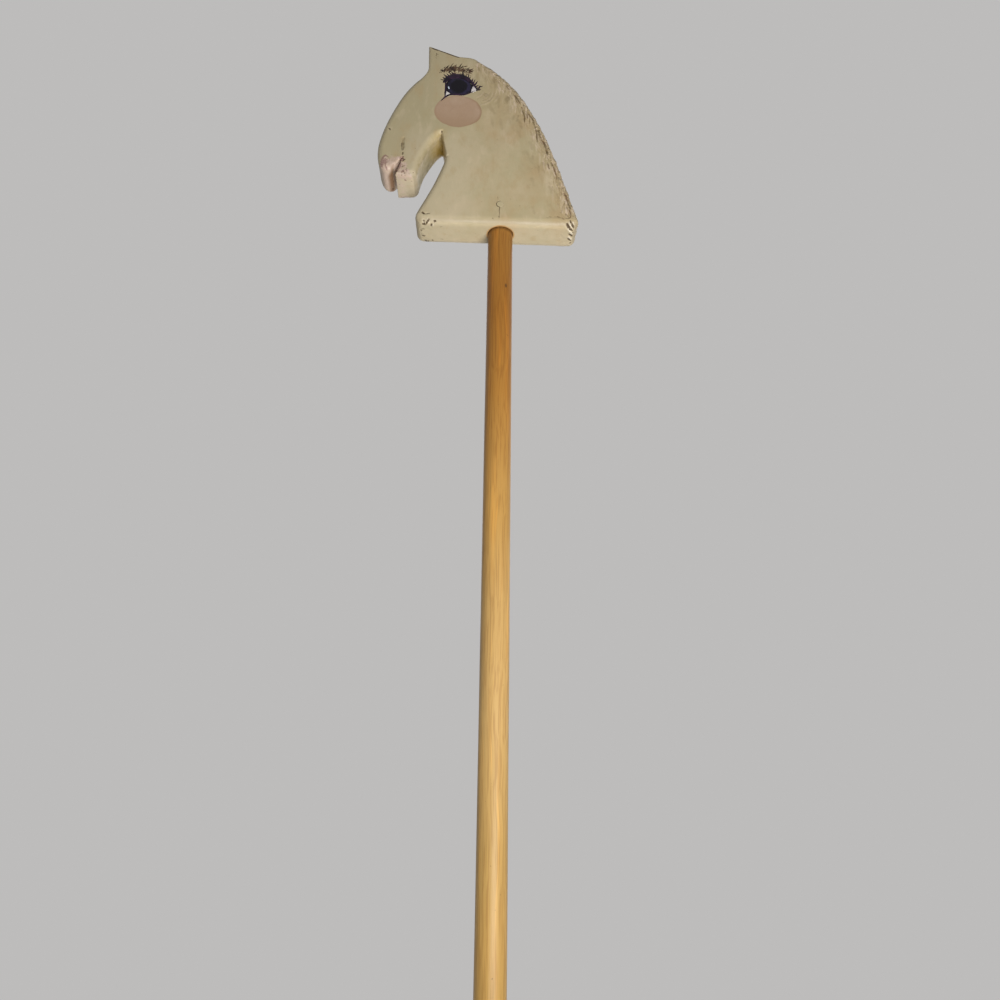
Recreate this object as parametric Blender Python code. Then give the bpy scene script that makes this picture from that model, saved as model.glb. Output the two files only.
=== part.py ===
"""A hobby horse: a flat horse's head sawn from one plank, on a round wooden pole.

The pole stands in a blind bore in the head's flat base and is locked there by one
countersunk wood screw, whose head is hidden under a plug of filler.

Units are metres. +Z runs up the pole, the nose points to -X, and the face that is
seen first looks to -Y. The origin is the middle of the pole's lower end.
"""

import math

import bmesh
import bpy
import numpy as np
from mathutils import Matrix, Vector

for old_object in list(bpy.data.objects):
    bpy.data.objects.remove(old_object, do_unlink=True)

# Clearance between pieces that touch
FIT_GAP = 0.0003

# Pole
POLE_DIAMETER = 0.0238
POLE_LENGTH = 0.9144
POLE_END_CHAMFER = 0.0012

# Bore in the head that takes the pole
BORE_DEPTH = 0.0762
BORE_MOUTH_EASE = 0.0010

# Plank and the round-over along its edges
PLANK_THICKNESS = 0.0357
PLANK_EDGE_ROUND = 0.00635
EAR_EDGE_ROUND = 0.0030
LIP_EDGE_ROUND = 0.0045
KERF_EDGE_ROUND = 0.0010
THROAT_EDGE_ROUND = 0.0016
EDGE_BLEND_LENGTH = 0.0120

# Head outline, as (x, z) from the pole's axis and from the flat base
BASE_FRONT = (-0.0850, 0.0)
BASE_BACK = (0.0766, 0.0)
BASE_CORNER_RADIUS = 0.0072
MANE_FOOT = (0.0722, 0.0160)
MANE_LOWER_PULL = (0.0543, 0.0733)
MANE_UPPER_PULL = (0.0351, 0.1662)
POLL = (-0.0255, 0.1996)
POLL_DIP_PULL = (-0.0345, 0.2046)
EAR_DIP_PULL = (-0.0420, 0.2012)
EAR_BACK = (-0.0500, 0.2049)
EAR_TIP = (-0.0768, 0.2159)
EAR_FOOT = (-0.0760, 0.1880)
BROW_UPPER_PULL = (-0.0764, 0.1812)
BROW_LOWER_PULL = (-0.0795, 0.1768)
FOREHEAD = (-0.0848, 0.1720)
FOREHEAD_PULL = (-0.1026, 0.1593)
NOSE_PULL = (-0.1224, 0.1022)
NOSE = (-0.1219, 0.0820)
MUZZLE_PULL = (-0.1217, 0.0700)
LIP_PULL = (-0.1185, 0.0585)
LIP = (-0.1118, 0.0583)
LIP_TURN_PULL = (-0.1068, 0.0580)
LIP_INNER_PULL = (-0.1055, 0.0612)
LIP_INNER = (-0.1030, 0.0650)
MOUTH_UPPER_END = (-0.0990, 0.0706)
MOUTH_END = (-0.0972, 0.0728)
MOUTH_LOWER_END = (-0.0977, 0.0696)
MOUTH_JAW_PULL = (-0.0995, 0.0630)
JAW_FRONT = (-0.1028, 0.0526)
JAW_BACK = (-0.0830, 0.0516)
JAW_CORNER_RADIUS = 0.0070
JAW_RISE = (-0.0812, 0.0620)
JAW_LOWER_PULL = (-0.0785, 0.0760)
JAW_UPPER_PULL = (-0.0700, 0.0935)
THROAT = (-0.0598, 0.1058)
THROAT_UPPER_PULL = (-0.0588, 0.0990)
THROAT_LOWER_PULL = (-0.0554, 0.0880)
NECK_BEND = (-0.0547, 0.0766)
NECK_PULL = (-0.0650, 0.0456)
NECK_FOOT = (-0.0790, 0.0150)

# Corner of the mouth, a three-sided gouge in each face
MOUTH_GOUGE_CORNERS = ((-0.0981, 0.0757), (-0.0934, 0.0696), (-0.0980, 0.0666))
MOUTH_GOUGE_DEPTH = 0.0040

# Hair of the mane, two staggered rows of gouge cuts along the crest in each face
MANE_CUTS = 22
MANE_CUT_LENGTH = 0.0125
MANE_CUT_WIDTH = 0.0024
MANE_CUT_DEPTH = 0.0012
MANE_CUT_INSET = 0.0066
MANE_ROW_GAP = 0.0036
MANE_CUT_SWAY = 0.0010
MANE_CUT_TURN = math.radians(4.0)

# Locking screw, driven from the near face through the bore's wall into the pole
SCREW_SIDE = -0.0012
SCREW_HEIGHT = 0.0214
SCREW_LENGTH = 0.0254
SCREW_HEAD_RADIUS = 0.0034
SCREW_HEAD_HEIGHT = 0.0028
SCREW_HEAD_RIM = 0.0003
SCREW_SHANK_RADIUS = 0.0017
SCREW_CORE_RADIUS = 0.0012
SCREW_THREAD_LENGTH = 0.0165
SCREW_PITCH = 0.0014
SCREW_POINT_LENGTH = 0.0032
SCREW_POINT_RADIUS = 0.0002
SCREW_SLOT_WIDTH = 0.0009
SCREW_SLOT_DEPTH = 0.0010

# Plug of filler over the screw's head
FILLER_THICKNESS = 0.0014

# How far a cutter runs past the face that it cuts
CUTTER_OVERSHOOT = 0.0020

# Facets
POLE_SEGMENTS = 56
BORE_SEGMENTS = 56
SCREW_SEGMENTS = 20
FILLER_SEGMENTS = 32
THREAD_ROWS_PER_TURN = 6
CURVE_STEPS = 14
MANE_STEPS = 34
FILLET_STEPS = 6
ROUND_STEPS = 5

# Places worked out from the sizes
HEAD_BASE_HEIGHT = POLE_LENGTH - BORE_DEPTH + FIT_GAP
BORE_RADIUS = POLE_DIAMETER / 2 + FIT_GAP
NEAR_FACE = -PLANK_THICKNESS / 2
SCREW_TOP = NEAR_FACE + FILLER_THICKNESS + FIT_GAP


def material(name, colour, roughness, metallic):
    """One Principled material with a colour, a roughness and a metallic value."""
    made = bpy.data.materials.new(name)
    made.use_nodes = True
    shader = made.node_tree.nodes["Principled BSDF"]
    shader.inputs["Base Color"].default_value = (*colour, 1.0)
    shader.inputs["Roughness"].default_value = roughness
    shader.inputs["Metallic"].default_value = metallic
    made.diffuse_color = (*colour, 1.0)
    return made


def mesh_object(name, points, faces, finish, parent=None, sharp_angle=35.0):
    """An object from points and faces, its faces turned outwards and its curves shaded smooth."""
    mesh = bpy.data.meshes.new(name)
    mesh.from_pydata([tuple(map(float, point)) for point in points], [], faces)
    work = bmesh.new()
    work.from_mesh(mesh)
    bmesh.ops.recalc_face_normals(work, faces=work.faces)
    bmesh.ops.triangulate(work, faces=work.faces)
    work.to_mesh(mesh)
    work.free()
    mesh.shade_smooth()
    mesh.set_sharp_from_angle(angle=math.radians(sharp_angle))
    if finish is not None:
        mesh.materials.append(finish)
    made = bpy.data.objects.new(name, mesh)
    made.parent = parent
    bpy.context.collection.objects.link(made)
    return made


def cutter(name, points, faces, parent=None):
    """A closed shape that only cuts other pieces."""
    made = mesh_object(name, points, faces, None, parent)
    made.hide_render = True
    made.display_type = "WIRE"
    return made


def cut(target, tool):
    """Takes the tool's shape out of the target."""
    boolean = target.modifiers.new("cut_" + tool.name, "BOOLEAN")
    boolean.operation = "DIFFERENCE"
    boolean.solver = "EXACT"
    boolean.object = tool


def turned(profile, segments, matrix):
    """Points and faces of a profile of (radius, height) turned about Z, closed by a flat disc at each end."""
    turn = np.linspace(0.0, 2.0 * math.pi, segments, endpoint=False)
    profile = np.asarray(profile)
    rings = np.stack(
        [
            profile[:, :1] * np.cos(turn),
            profile[:, :1] * np.sin(turn),
            np.repeat(profile[:, 1:], segments, axis=1),
        ],
        axis=2,
    )
    points = [matrix @ Vector(point) for point in rings.reshape(-1, 3)]
    return points, tube_faces(len(profile), segments)


def tube_faces(rings, around):
    """Side faces between closed rings of points, and one many-sided face at each end."""
    faces = [
        (
            ring * around + step,
            ring * around + (step + 1) % around,
            (ring + 1) * around + (step + 1) % around,
            (ring + 1) * around + step,
        )
        for ring in range(rings - 1)
        for step in range(around)
    ]
    last = (rings - 1) * around
    return faces + [tuple(range(around)), tuple(range(last, last + around))]


def bezier(start, pull_a, pull_b, end, steps):
    """Points of a cubic curve, without its last one, which the next run starts with."""
    share = (np.arange(steps) / steps)[:, None]
    start, pull_a, pull_b, end = (np.array(p) for p in (start, pull_a, pull_b, end))
    return (
        (1 - share) ** 3 * start
        + 3 * (1 - share) ** 2 * share * pull_a
        + 3 * (1 - share) * share**2 * pull_b
        + share**3 * end
    )


def fillet(before, corner, after, radius):
    """Points of an arc that rounds one corner between two straight sides."""
    before, corner, after = (np.array(p) for p in (before, corner, after))
    side_a = (before - corner) / np.linalg.norm(before - corner)
    side_b = (after - corner) / np.linalg.norm(after - corner)
    half_angle = math.acos(float(side_a @ side_b)) / 2
    middle = (side_a + side_b) / np.linalg.norm(side_a + side_b)
    centre = corner + middle * radius / math.sin(half_angle)
    reach = radius / math.tan(half_angle)
    start = corner + side_a * reach - centre
    end = corner + side_b * reach - centre
    first = math.atan2(start[1], start[0])
    sweep = (math.atan2(end[1], end[0]) - first + math.pi) % (2 * math.pi) - math.pi
    angle = first + sweep * np.linspace(0.0, 1.0, FILLET_STEPS + 1)
    return centre + radius * np.stack([np.cos(angle), np.sin(angle)], axis=1)


def head_runs():
    """The outline's runs in order, base first and then up the mane, each with its edge round."""
    arc_room = 0.9
    base_round = min(PLANK_EDGE_ROUND, BASE_CORNER_RADIUS * arc_room)
    jaw_round = min(PLANK_EDGE_ROUND, JAW_CORNER_RADIUS * arc_room)
    board = PLANK_EDGE_ROUND
    return [
        (fillet(NECK_FOOT, BASE_FRONT, BASE_BACK, BASE_CORNER_RADIUS), base_round),
        (fillet(BASE_FRONT, BASE_BACK, MANE_FOOT, BASE_CORNER_RADIUS), base_round),
        (bezier(MANE_FOOT, MANE_LOWER_PULL, MANE_UPPER_PULL, POLL, MANE_STEPS), board),
        (bezier(POLL, POLL_DIP_PULL, EAR_DIP_PULL, EAR_BACK, 6), EAR_EDGE_ROUND),
        (np.array([EAR_BACK, EAR_TIP]), EAR_EDGE_ROUND),
        (bezier(EAR_FOOT, BROW_UPPER_PULL, BROW_LOWER_PULL, FOREHEAD, 5), EAR_EDGE_ROUND),
        (bezier(FOREHEAD, FOREHEAD_PULL, NOSE_PULL, NOSE, CURVE_STEPS), board),
        (bezier(NOSE, MUZZLE_PULL, LIP_PULL, LIP, 8), board),
        (bezier(LIP, LIP_TURN_PULL, LIP_INNER_PULL, LIP_INNER, 5), LIP_EDGE_ROUND),
        (np.array([LIP_INNER, MOUTH_UPPER_END, MOUTH_END]), KERF_EDGE_ROUND),
        (bezier(MOUTH_LOWER_END, MOUTH_JAW_PULL, MOUTH_JAW_PULL, JAW_FRONT, 5), KERF_EDGE_ROUND),
        (np.array([JAW_FRONT]), KERF_EDGE_ROUND),
        (fillet(JAW_FRONT, JAW_BACK, JAW_RISE, JAW_CORNER_RADIUS), jaw_round),
        (bezier(JAW_RISE, JAW_LOWER_PULL, JAW_UPPER_PULL, THROAT, 10), board),
        (bezier(THROAT, THROAT_UPPER_PULL, THROAT_LOWER_PULL, NECK_BEND, 6), THROAT_EDGE_ROUND),
        (bezier(NECK_BEND, NECK_PULL, NECK_PULL, NECK_FOOT, 8), board),
        (np.array([NECK_FOOT]), board),
    ]


def evenly_divided(points, rounds, longest=0.006):
    """The closed outline with long sides divided, so that its edge round can change along them."""
    divided, kept = [], []
    for here, there, near, far in zip(
        points, np.roll(points, -1, axis=0), rounds, np.roll(rounds, -1)
    ):
        parts = max(1, math.ceil(np.linalg.norm(there - here) / longest))
        share = np.arange(parts) / parts
        divided.append(here + (there - here) * share[:, None])
        kept.append(near + (far - near) * share)
    return np.vstack(divided), np.concatenate(kept)


def head_outline():
    """The outline's points and the radius of the edge round at each of them."""
    runs = head_runs()
    points = np.vstack([run for run, _ in runs])
    rounds = np.concatenate([np.full(len(run), radius) for run, radius in runs])
    points, rounds = evenly_divided(points, rounds)
    side = np.linalg.norm(np.roll(points, -1, axis=0) - points, axis=1)
    along = np.concatenate([[0.0], np.cumsum(side)[:-1]])
    apart = np.abs(along[:, None] - along)
    apart = np.minimum(apart, side.sum() - apart)
    weight = np.clip(1.0 - apart / EDGE_BLEND_LENGTH, 0.0, None) * side
    blended = weight @ rounds / weight.sum(axis=1)
    most_above_own = 1.6
    return points, np.minimum(blended, rounds * most_above_own)


def inward(points):
    """At each outline point, the step that moves both sides beside it inwards by one."""
    side = np.roll(points, -1, axis=0) - points
    side /= np.linalg.norm(side, axis=1, keepdims=True)
    normal = np.stack([side[:, 1], -side[:, 0]], axis=1)
    before = np.roll(normal, 1, axis=0)
    spread = 1.0 + np.sum(normal * before, axis=1, keepdims=True)
    sharpest = 0.2
    return -(normal + before) / np.maximum(spread, sharpest)


def plank_solid():
    """Rings of the outline, each drawn in and set back along a quarter circle, from face to face."""
    points, rounds = head_outline()
    steps = inward(points)
    rings = []
    angles = np.linspace(0.0, math.pi / 2, ROUND_STEPS + 1)
    for side, order in ((-1.0, angles), (1.0, angles[::-1])):
        for angle in order:
            drawn_in = points + steps * (rounds * (1.0 - math.sin(angle)))[:, None]
            depth = PLANK_THICKNESS / 2 - rounds * (1.0 - math.cos(angle))
            rings.append(np.stack([drawn_in[:, 0], side * depth, drawn_in[:, 1]], axis=1))
    return np.vstack(rings), tube_faces(len(rings), len(points))


def mane_cuts():
    """Long narrow scoops beside the crest in both faces, their ends pointed."""
    share = (np.arange(MANE_CUTS) + 0.5) / MANE_CUTS
    crest_steps = 400
    crest = bezier(MANE_FOOT, MANE_LOWER_PULL, MANE_UPPER_PULL, POLL, crest_steps)
    fine = np.vstack([crest, [POLL]])
    length = np.concatenate([[0.0], np.cumsum(np.linalg.norm(np.diff(fine, axis=0), axis=1))])
    place = np.stack(
        [np.interp(share * length[-1], length, fine[:, axis]) for axis in (0, 1)], axis=1
    )
    look_ahead = 0.001
    ahead = np.stack(
        [np.interp(share * length[-1] + look_ahead, length, fine[:, axis]) for axis in (0, 1)],
        axis=1,
    )
    along = (ahead - place) / np.linalg.norm(ahead - place, axis=1, keepdims=True)
    inside = np.stack([-along[:, 1], along[:, 0]], axis=1)
    number = np.arange(MANE_CUTS)
    sway_step, lean_step = 0.45, 0.7
    sway = MANE_CUT_SWAY * np.sin(number * sway_step)
    inset = MANE_CUT_INSET + MANE_ROW_GAP * (number % 2) + sway
    middle = place + inside * inset[:, None]
    lean = np.arctan2(along[:, 1], along[:, 0]) + MANE_CUT_TURN * np.sin(number * lean_step)
    around, stations, blunt_end = 8, 5, 0.9
    turn = np.linspace(0.0, 2 * math.pi, around, endpoint=False)
    points, faces = [], []
    for (x, z), angle_up in zip(middle, lean):
        for side in (-1.0, 1.0):
            place_matrix = Matrix.Translation((x, side * PLANK_THICKNESS / 2, z))
            place_matrix @= Matrix.Rotation(-angle_up, 4, "Y")
            first = len(points)
            for station in np.linspace(-blunt_end, blunt_end, stations):
                girth = math.sqrt(1.0 - station**2)
                points += [
                    place_matrix
                    @ Vector(
                        (
                            station * MANE_CUT_LENGTH / 2,
                            girth * MANE_CUT_DEPTH * math.sin(angle),
                            girth * MANE_CUT_WIDTH / 2 * math.cos(angle),
                        )
                    )
                    for angle in turn
                ]
            faces += [
                tuple(first + corner for corner in face) for face in tube_faces(stations, around)
            ]
    return points, faces


def mouth_gouges():
    """Three-sided pits at the corner of the mouth, one in each face, that narrow as they go in."""
    corners = np.array(MOUTH_GOUGE_CORNERS)
    middle = corners.mean(axis=0)
    overshoot = 0.001
    narrowing = 0.45
    points, faces = [], []
    for side in (-1.0, 1.0):
        first = len(points)
        for share, depth in (
            (1.0 + overshoot / MOUTH_GOUGE_DEPTH * (1.0 - narrowing), -overshoot),
            (narrowing, MOUTH_GOUGE_DEPTH),
        ):
            ring = middle + (corners - middle) * share
            height = side * (PLANK_THICKNESS / 2 - depth)
            points += [(x, height, z) for x, z in ring]
        faces += [tuple(first + corner for corner in face) for face in tube_faces(2, 3)]
    return points, faces


def bore_profile():
    """Radius against height above the base, from below the eased mouth to the bore's flat end."""
    mouth_radius = BORE_RADIUS + BORE_MOUTH_EASE
    return [
        (mouth_radius + CUTTER_OVERSHOOT, -CUTTER_OVERSHOOT),
        (BORE_RADIUS, BORE_MOUTH_EASE),
        (BORE_RADIUS, BORE_DEPTH),
    ]


def screw_outline(gap, above):
    """The countersunk screw's radius against depth below its top, each side moved out by a gap."""
    return [
        (SCREW_HEAD_RADIUS + gap, -above),
        (SCREW_HEAD_RADIUS + gap, SCREW_HEAD_RIM + gap),
        (SCREW_SHANK_RADIUS + gap, SCREW_HEAD_HEIGHT + gap),
        (SCREW_SHANK_RADIUS + gap, SCREW_LENGTH + gap),
    ]


def screw_solid(matrix):
    """The head and shank turned, and the thread as a ridge that climbs one pitch in each turn."""
    plain_end = SCREW_LENGTH - SCREW_THREAD_LENGTH
    rows = math.ceil(SCREW_THREAD_LENGTH / SCREW_PITCH * THREAD_ROWS_PER_TURN)
    head = [
        (SCREW_HEAD_RADIUS, 0.0),
        (SCREW_HEAD_RADIUS, SCREW_HEAD_RIM),
        (SCREW_SHANK_RADIUS, SCREW_HEAD_HEIGHT),
    ]
    turn = np.linspace(0.0, 2 * math.pi, SCREW_SEGMENTS, endpoint=False)
    depth = np.linspace(plain_end, SCREW_LENGTH, rows)
    to_point = (SCREW_LENGTH - depth) / SCREW_POINT_LENGTH
    core = SCREW_POINT_RADIUS + (SCREW_CORE_RADIUS - SCREW_POINT_RADIUS) * np.minimum(to_point, 1)
    run_in = np.clip((depth - plain_end) / SCREW_PITCH, 0.0, 1.0)
    core = SCREW_SHANK_RADIUS + (core - SCREW_SHANK_RADIUS) * run_in
    phase = depth[:, None] / SCREW_PITCH - turn / (2 * math.pi)
    ridge = 1.0 - np.abs((phase % 1.0) * 2.0 - 1.0)
    height = (SCREW_SHANK_RADIUS - SCREW_CORE_RADIUS) * np.minimum(to_point, 1.0) * run_in
    radius = core[:, None] + ridge * height[:, None]
    head_radius = np.repeat([[r] for r, _ in head], SCREW_SEGMENTS, axis=1)
    radius = np.vstack([head_radius, radius])
    depth = np.concatenate([[d for _, d in head], depth])[:, None] + np.zeros(SCREW_SEGMENTS)
    grid = np.stack([radius * np.cos(turn), radius * np.sin(turn), depth], axis=2)
    points = [matrix @ Vector(point) for point in grid.reshape(-1, 3)]
    return points, tube_faces(len(grid), SCREW_SEGMENTS)


def box_solid(size, matrix):
    """A plain box about its own middle."""
    half = [length / 2 for length in size]
    ring = ((-1, -1), (1, -1), (1, 1), (-1, 1))
    points = [
        matrix @ Vector((x * half[0], y * half[1], z * half[2])) for z in (-1, 1) for x, y in ring
    ]
    return points, tube_faces(2, 4)


cream_paint = material("cream_paint", (0.67, 0.61, 0.42), 0.42, 0.0)
amber_varnish = material("amber_varnish", (0.52, 0.27, 0.09), 0.34, 0.0)
zinc_steel = material("zinc_steel", (0.62, 0.62, 0.60), 0.35, 1.0)
painted_filler = material("painted_filler", (0.69, 0.63, 0.45), 0.50, 0.0)

head_place = bpy.data.objects.new("head_place", None)
head_place.location = (0.0, 0.0, HEAD_BASE_HEIGHT)
bpy.context.collection.objects.link(head_place)

# Depth along the screw's own Z runs from the near face into the plank
screw_axis = Matrix.Translation((SCREW_SIDE, SCREW_TOP, SCREW_HEIGHT)) @ Matrix.Rotation(
    -math.pi / 2, 4, "X"
)

# Head
head = mesh_object("head", *plank_solid(), cream_paint, head_place, sharp_angle=40.0)
cut(head, cutter("bore_drill", *turned(bore_profile(), BORE_SEGMENTS, Matrix()), head_place))
past_face = FILLER_THICKNESS + FIT_GAP + CUTTER_OVERSHOOT
screw_hole = turned(screw_outline(FIT_GAP, past_face), SCREW_SEGMENTS, screw_axis)
cut(head, cutter("screw_drill", *screw_hole, head_place))
cut(head, cutter("mouth_gouge", *mouth_gouges(), head_place))
cut(head, cutter("mane_gouge", *mane_cuts(), head_place))

# Pole, whose upper end stands in the bore
pole_radius = POLE_DIAMETER / 2
pole_profile = [
    (pole_radius - POLE_END_CHAMFER, 0.0),
    (pole_radius, POLE_END_CHAMFER),
    (pole_radius, POLE_LENGTH - POLE_END_CHAMFER),
    (pole_radius - POLE_END_CHAMFER, POLE_LENGTH),
]
pole = mesh_object("pole", *turned(pole_profile, POLE_SEGMENTS, Matrix()), amber_varnish)
pilot_hole = turned(screw_outline(FIT_GAP, 0.0), SCREW_SEGMENTS, screw_axis)
cut(pole, cutter("pilot_drill", *pilot_hole, head_place))

# Screw
locking_screw = mesh_object("locking_screw", *screw_solid(screw_axis), zinc_steel, head_place)
slot_size = (
    2 * (SCREW_HEAD_RADIUS + CUTTER_OVERSHOOT),
    SCREW_SLOT_WIDTH,
    2 * SCREW_SLOT_DEPTH,
)
cut(locking_screw, cutter("slot_saw", *box_solid(slot_size, screw_axis), head_place))

# Filler over the screw, flush with the near face
filler_profile = [
    (SCREW_HEAD_RADIUS, -FIT_GAP - FILLER_THICKNESS),
    (SCREW_HEAD_RADIUS, -FIT_GAP),
]
screw_filler = mesh_object(
    "screw_filler",
    *turned(filler_profile, FILLER_SEGMENTS, screw_axis),
    painted_filler,
    head_place,
)
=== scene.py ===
# %% [markdown]
# # A painted hobby horse
# The toy is a horse's head sawn from one thick plank, on a round wooden pole. The
# plank's edges were rounded over, the mane and the mouth were gouged, and the rest of
# the face is paint. This lesson dresses the exact solids of the toy, so that the looks
# sit in the same frame as the solids: metres, +Z up the pole, the nose towards -X, and
# the face that is seen first towards -Y.

import math

import bpy
import numpy as np
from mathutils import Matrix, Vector
from mathutils.geometry import delaunay_2d_cdt


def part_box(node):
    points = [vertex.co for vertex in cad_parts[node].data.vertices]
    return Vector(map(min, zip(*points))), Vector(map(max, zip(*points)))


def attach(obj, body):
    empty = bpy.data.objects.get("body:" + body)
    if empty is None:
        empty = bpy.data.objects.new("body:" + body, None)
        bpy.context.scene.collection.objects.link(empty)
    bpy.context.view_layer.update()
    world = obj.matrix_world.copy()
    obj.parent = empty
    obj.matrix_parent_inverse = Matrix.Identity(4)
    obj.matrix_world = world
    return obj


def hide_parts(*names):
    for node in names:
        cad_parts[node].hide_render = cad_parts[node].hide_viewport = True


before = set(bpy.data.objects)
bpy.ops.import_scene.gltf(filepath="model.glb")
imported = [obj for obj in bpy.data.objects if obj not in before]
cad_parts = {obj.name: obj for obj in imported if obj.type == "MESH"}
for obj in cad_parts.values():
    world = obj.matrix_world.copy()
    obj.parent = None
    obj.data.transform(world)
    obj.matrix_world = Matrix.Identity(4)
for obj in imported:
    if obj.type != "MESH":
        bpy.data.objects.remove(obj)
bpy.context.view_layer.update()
BODY = "root"
print("nodes:", sorted(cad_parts))

# %% [markdown]
# ## Camera
# The view looks up at the toy, so that the flat underside of the head shows. The camera
# stands in front of the pole, below the head, and is tipped up by about 17 degrees. Its
# place and its turns are given as plain values, because the frame is in real metres.

# %% Camera
CAMERA_PLACE = (-0.016444, -0.590850, 0.383375)
CAMERA_TURNS = (107.451, -0.6596, -2.0759)
LENS = 26.0
SENSOR = 36.0


def add_camera():
    """A camera at CAMERA_PLACE, turned by CAMERA_TURNS degrees about X, Y and Z."""
    data = bpy.data.cameras.new("view_camera")
    data.lens = LENS
    data.sensor_width = SENSOR
    camera = bpy.data.objects.new("view_camera", data)
    camera.location = CAMERA_PLACE
    camera.rotation_euler = [math.radians(turn) for turn in CAMERA_TURNS]
    bpy.context.scene.collection.objects.link(camera)
    bpy.context.scene.camera = camera
    return camera


add_camera()
bpy.context.scene.view_settings.view_transform = "Standard"
print("field of view:", round(2 * math.degrees(math.atan(SENSOR / 2 / LENS)), 1), "degrees")

# %% [markdown]
# ## Helpers for node trees
# Every finish below is a tree of shader nodes. One helper fills or links the inputs of a
# node, one adds a node, and the next ones work with values. Each takes the output that it
# works on and finds the tree by it, so a formula reads as a chain of plain calls. The
# last ones start a node group with named sockets, so that an effect is built once and
# used in several materials.

# %% Node helpers


def feed(node, **inputs):
    """Fills a node's inputs. Each is named by its socket, with _ for a space, or by in0,
    in1 for its number, and is either a value or the output that feeds it."""
    for name, value in inputs.items():
        key = int(name[2:]) if name[:2] == "in" and name[2:].isdigit() else name.replace("_", " ")
        if isinstance(value, bpy.types.NodeSocket):
            node.id_data.links.new(value, node.inputs[key])
        else:
            node.inputs[key].default_value = value
    return node


def add_node(tree, kind, settings=None, **inputs):
    """A node of a kind, with its settings and its inputs."""
    node = tree.nodes.new(kind)
    for name, value in (settings or {}).items():
        setattr(node, name, value)
    return feed(node, **inputs)


def maths(operation, first, second=0.0, third=0.0):
    """The output of one Math node."""
    inputs = {"in0": first, "in1": second, "in2": third}
    return add_node(first.id_data, "ShaderNodeMath", {"operation": operation}, **inputs).outputs[0]


def times(first, *others):
    """The product of the values."""
    for other in others:
        first = maths("MULTIPLY", first, other)
    return first


def largest(first, *others):
    """The largest of the values."""
    for other in others:
        first = maths("MAXIMUM", first, other)
    return first


def times_plus(first, second, third):
    """first * second + third."""
    return maths("MULTIPLY_ADD", first, second, third)


def vector_maths(operation, first, *others):
    """The output of one Vector Math node: a value for a length, a vector for the rest."""
    inputs = {f"in{number}": value for number, value in enumerate((first, *others))}
    node = add_node(first.id_data, "ShaderNodeVectorMath", {"operation": operation}, **inputs)
    return node.outputs["Value" if operation == "LENGTH" else "Vector"]


def from_centre(place, centre, scale):
    """A place seen from a centre, with each axis scaled, and its length."""
    seen = vector_maths("MULTIPLY", vector_maths("SUBTRACT", place, centre), scale)
    return seen, vector_maths("LENGTH", seen)


def along_axis(place, name):
    """The X, Y or Z of a place."""
    return add_node(place.id_data, "ShaderNodeSeparateXYZ", Vector=place).outputs[name]


print("value helpers ready")

# %% Colours, noise, groups and materials


def blend_colour(share, first, second, mode="MIX"):
    """First where share is 0 and second where it is 1."""
    settings = {"data_type": "RGBA", "blend_type": mode}
    inputs = {"in0": share, "in6": first, "in7": second}
    return add_node(share.id_data, "ShaderNodeMix", settings, **inputs).outputs[2]


def step_between(value, low, high):
    """0 at low, 1 at high and a soft change between; it falls where low is the larger."""
    settings = {"interpolation_type": "SMOOTHSTEP"}
    inputs = {"Value": value, "From_Min": low, "From_Max": high}
    return add_node(value.id_data, "ShaderNodeMapRange", settings, **inputs).outputs[0]


def cloud(vector, scale, detail=3.0, roughness=0.55, stretch=None):
    """A noise field between 0 and 1; stretch scales each axis first."""
    if stretch is not None:
        vector = add_node(vector.id_data, "ShaderNodeMapping", Vector=vector, Scale=stretch).outputs[0]
    inputs = {"Vector": vector, "Scale": scale, "Detail": detail, "Roughness": roughness}
    return add_node(vector.id_data, "ShaderNodeTexNoise", **inputs).outputs[0]


def swing(vector, scale, **more):
    """A noise field between -0.5 and 0.5."""
    return maths("SUBTRACT", cloud(vector, scale, **more), 0.5)


def start_group(name, sockets_in, sockets_out):
    """A node group, with its input and output nodes, from lists of (name, kind, default)."""
    group = bpy.data.node_groups.new(name, "ShaderNodeTree")
    kinds = {"colour": "NodeSocketColor", "value": "NodeSocketFloat", "vector": "NodeSocketVector"}
    for in_out, sockets in (("INPUT", sockets_in), ("OUTPUT", sockets_out)):
        for label, kind, *default in sockets:
            socket = group.interface.new_socket(name=label, in_out=in_out, socket_type=kinds[kind])
            if default:
                socket.default_value = default[0]
    return group, group.nodes.new("NodeGroupInput"), group.nodes.new("NodeGroupOutput")


def use_group(tree, group, **inputs):
    """A group placed in a tree, with its own values."""
    return add_node(tree, "ShaderNodeGroup", {"node_tree": group}, **inputs)


def colour(red, green, blue):
    """An opaque linear colour."""
    return (red, green, blue, 1.0)


def start_material(name, **sockets):
    """A Principled material, its shader, and the object's own coordinates."""
    made = bpy.data.materials.new(name)
    made.use_nodes = True
    shader = feed(made.node_tree.nodes["Principled BSDF"], **sockets)
    return made, shader, add_node(made.node_tree, "ShaderNodeTexCoord").outputs["Object"]


print("node helpers ready")

# %% [markdown]
# ## Shared effects
# Old oil paint over wood shows three things in every place: its colour is cloudy, dirt
# sits in it as specks and in its hollows, and the brush left fine ridges. Varnish on the
# pole has the same clouds and dirt. Each effect is one node group.

# %% Shared node groups


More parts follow.
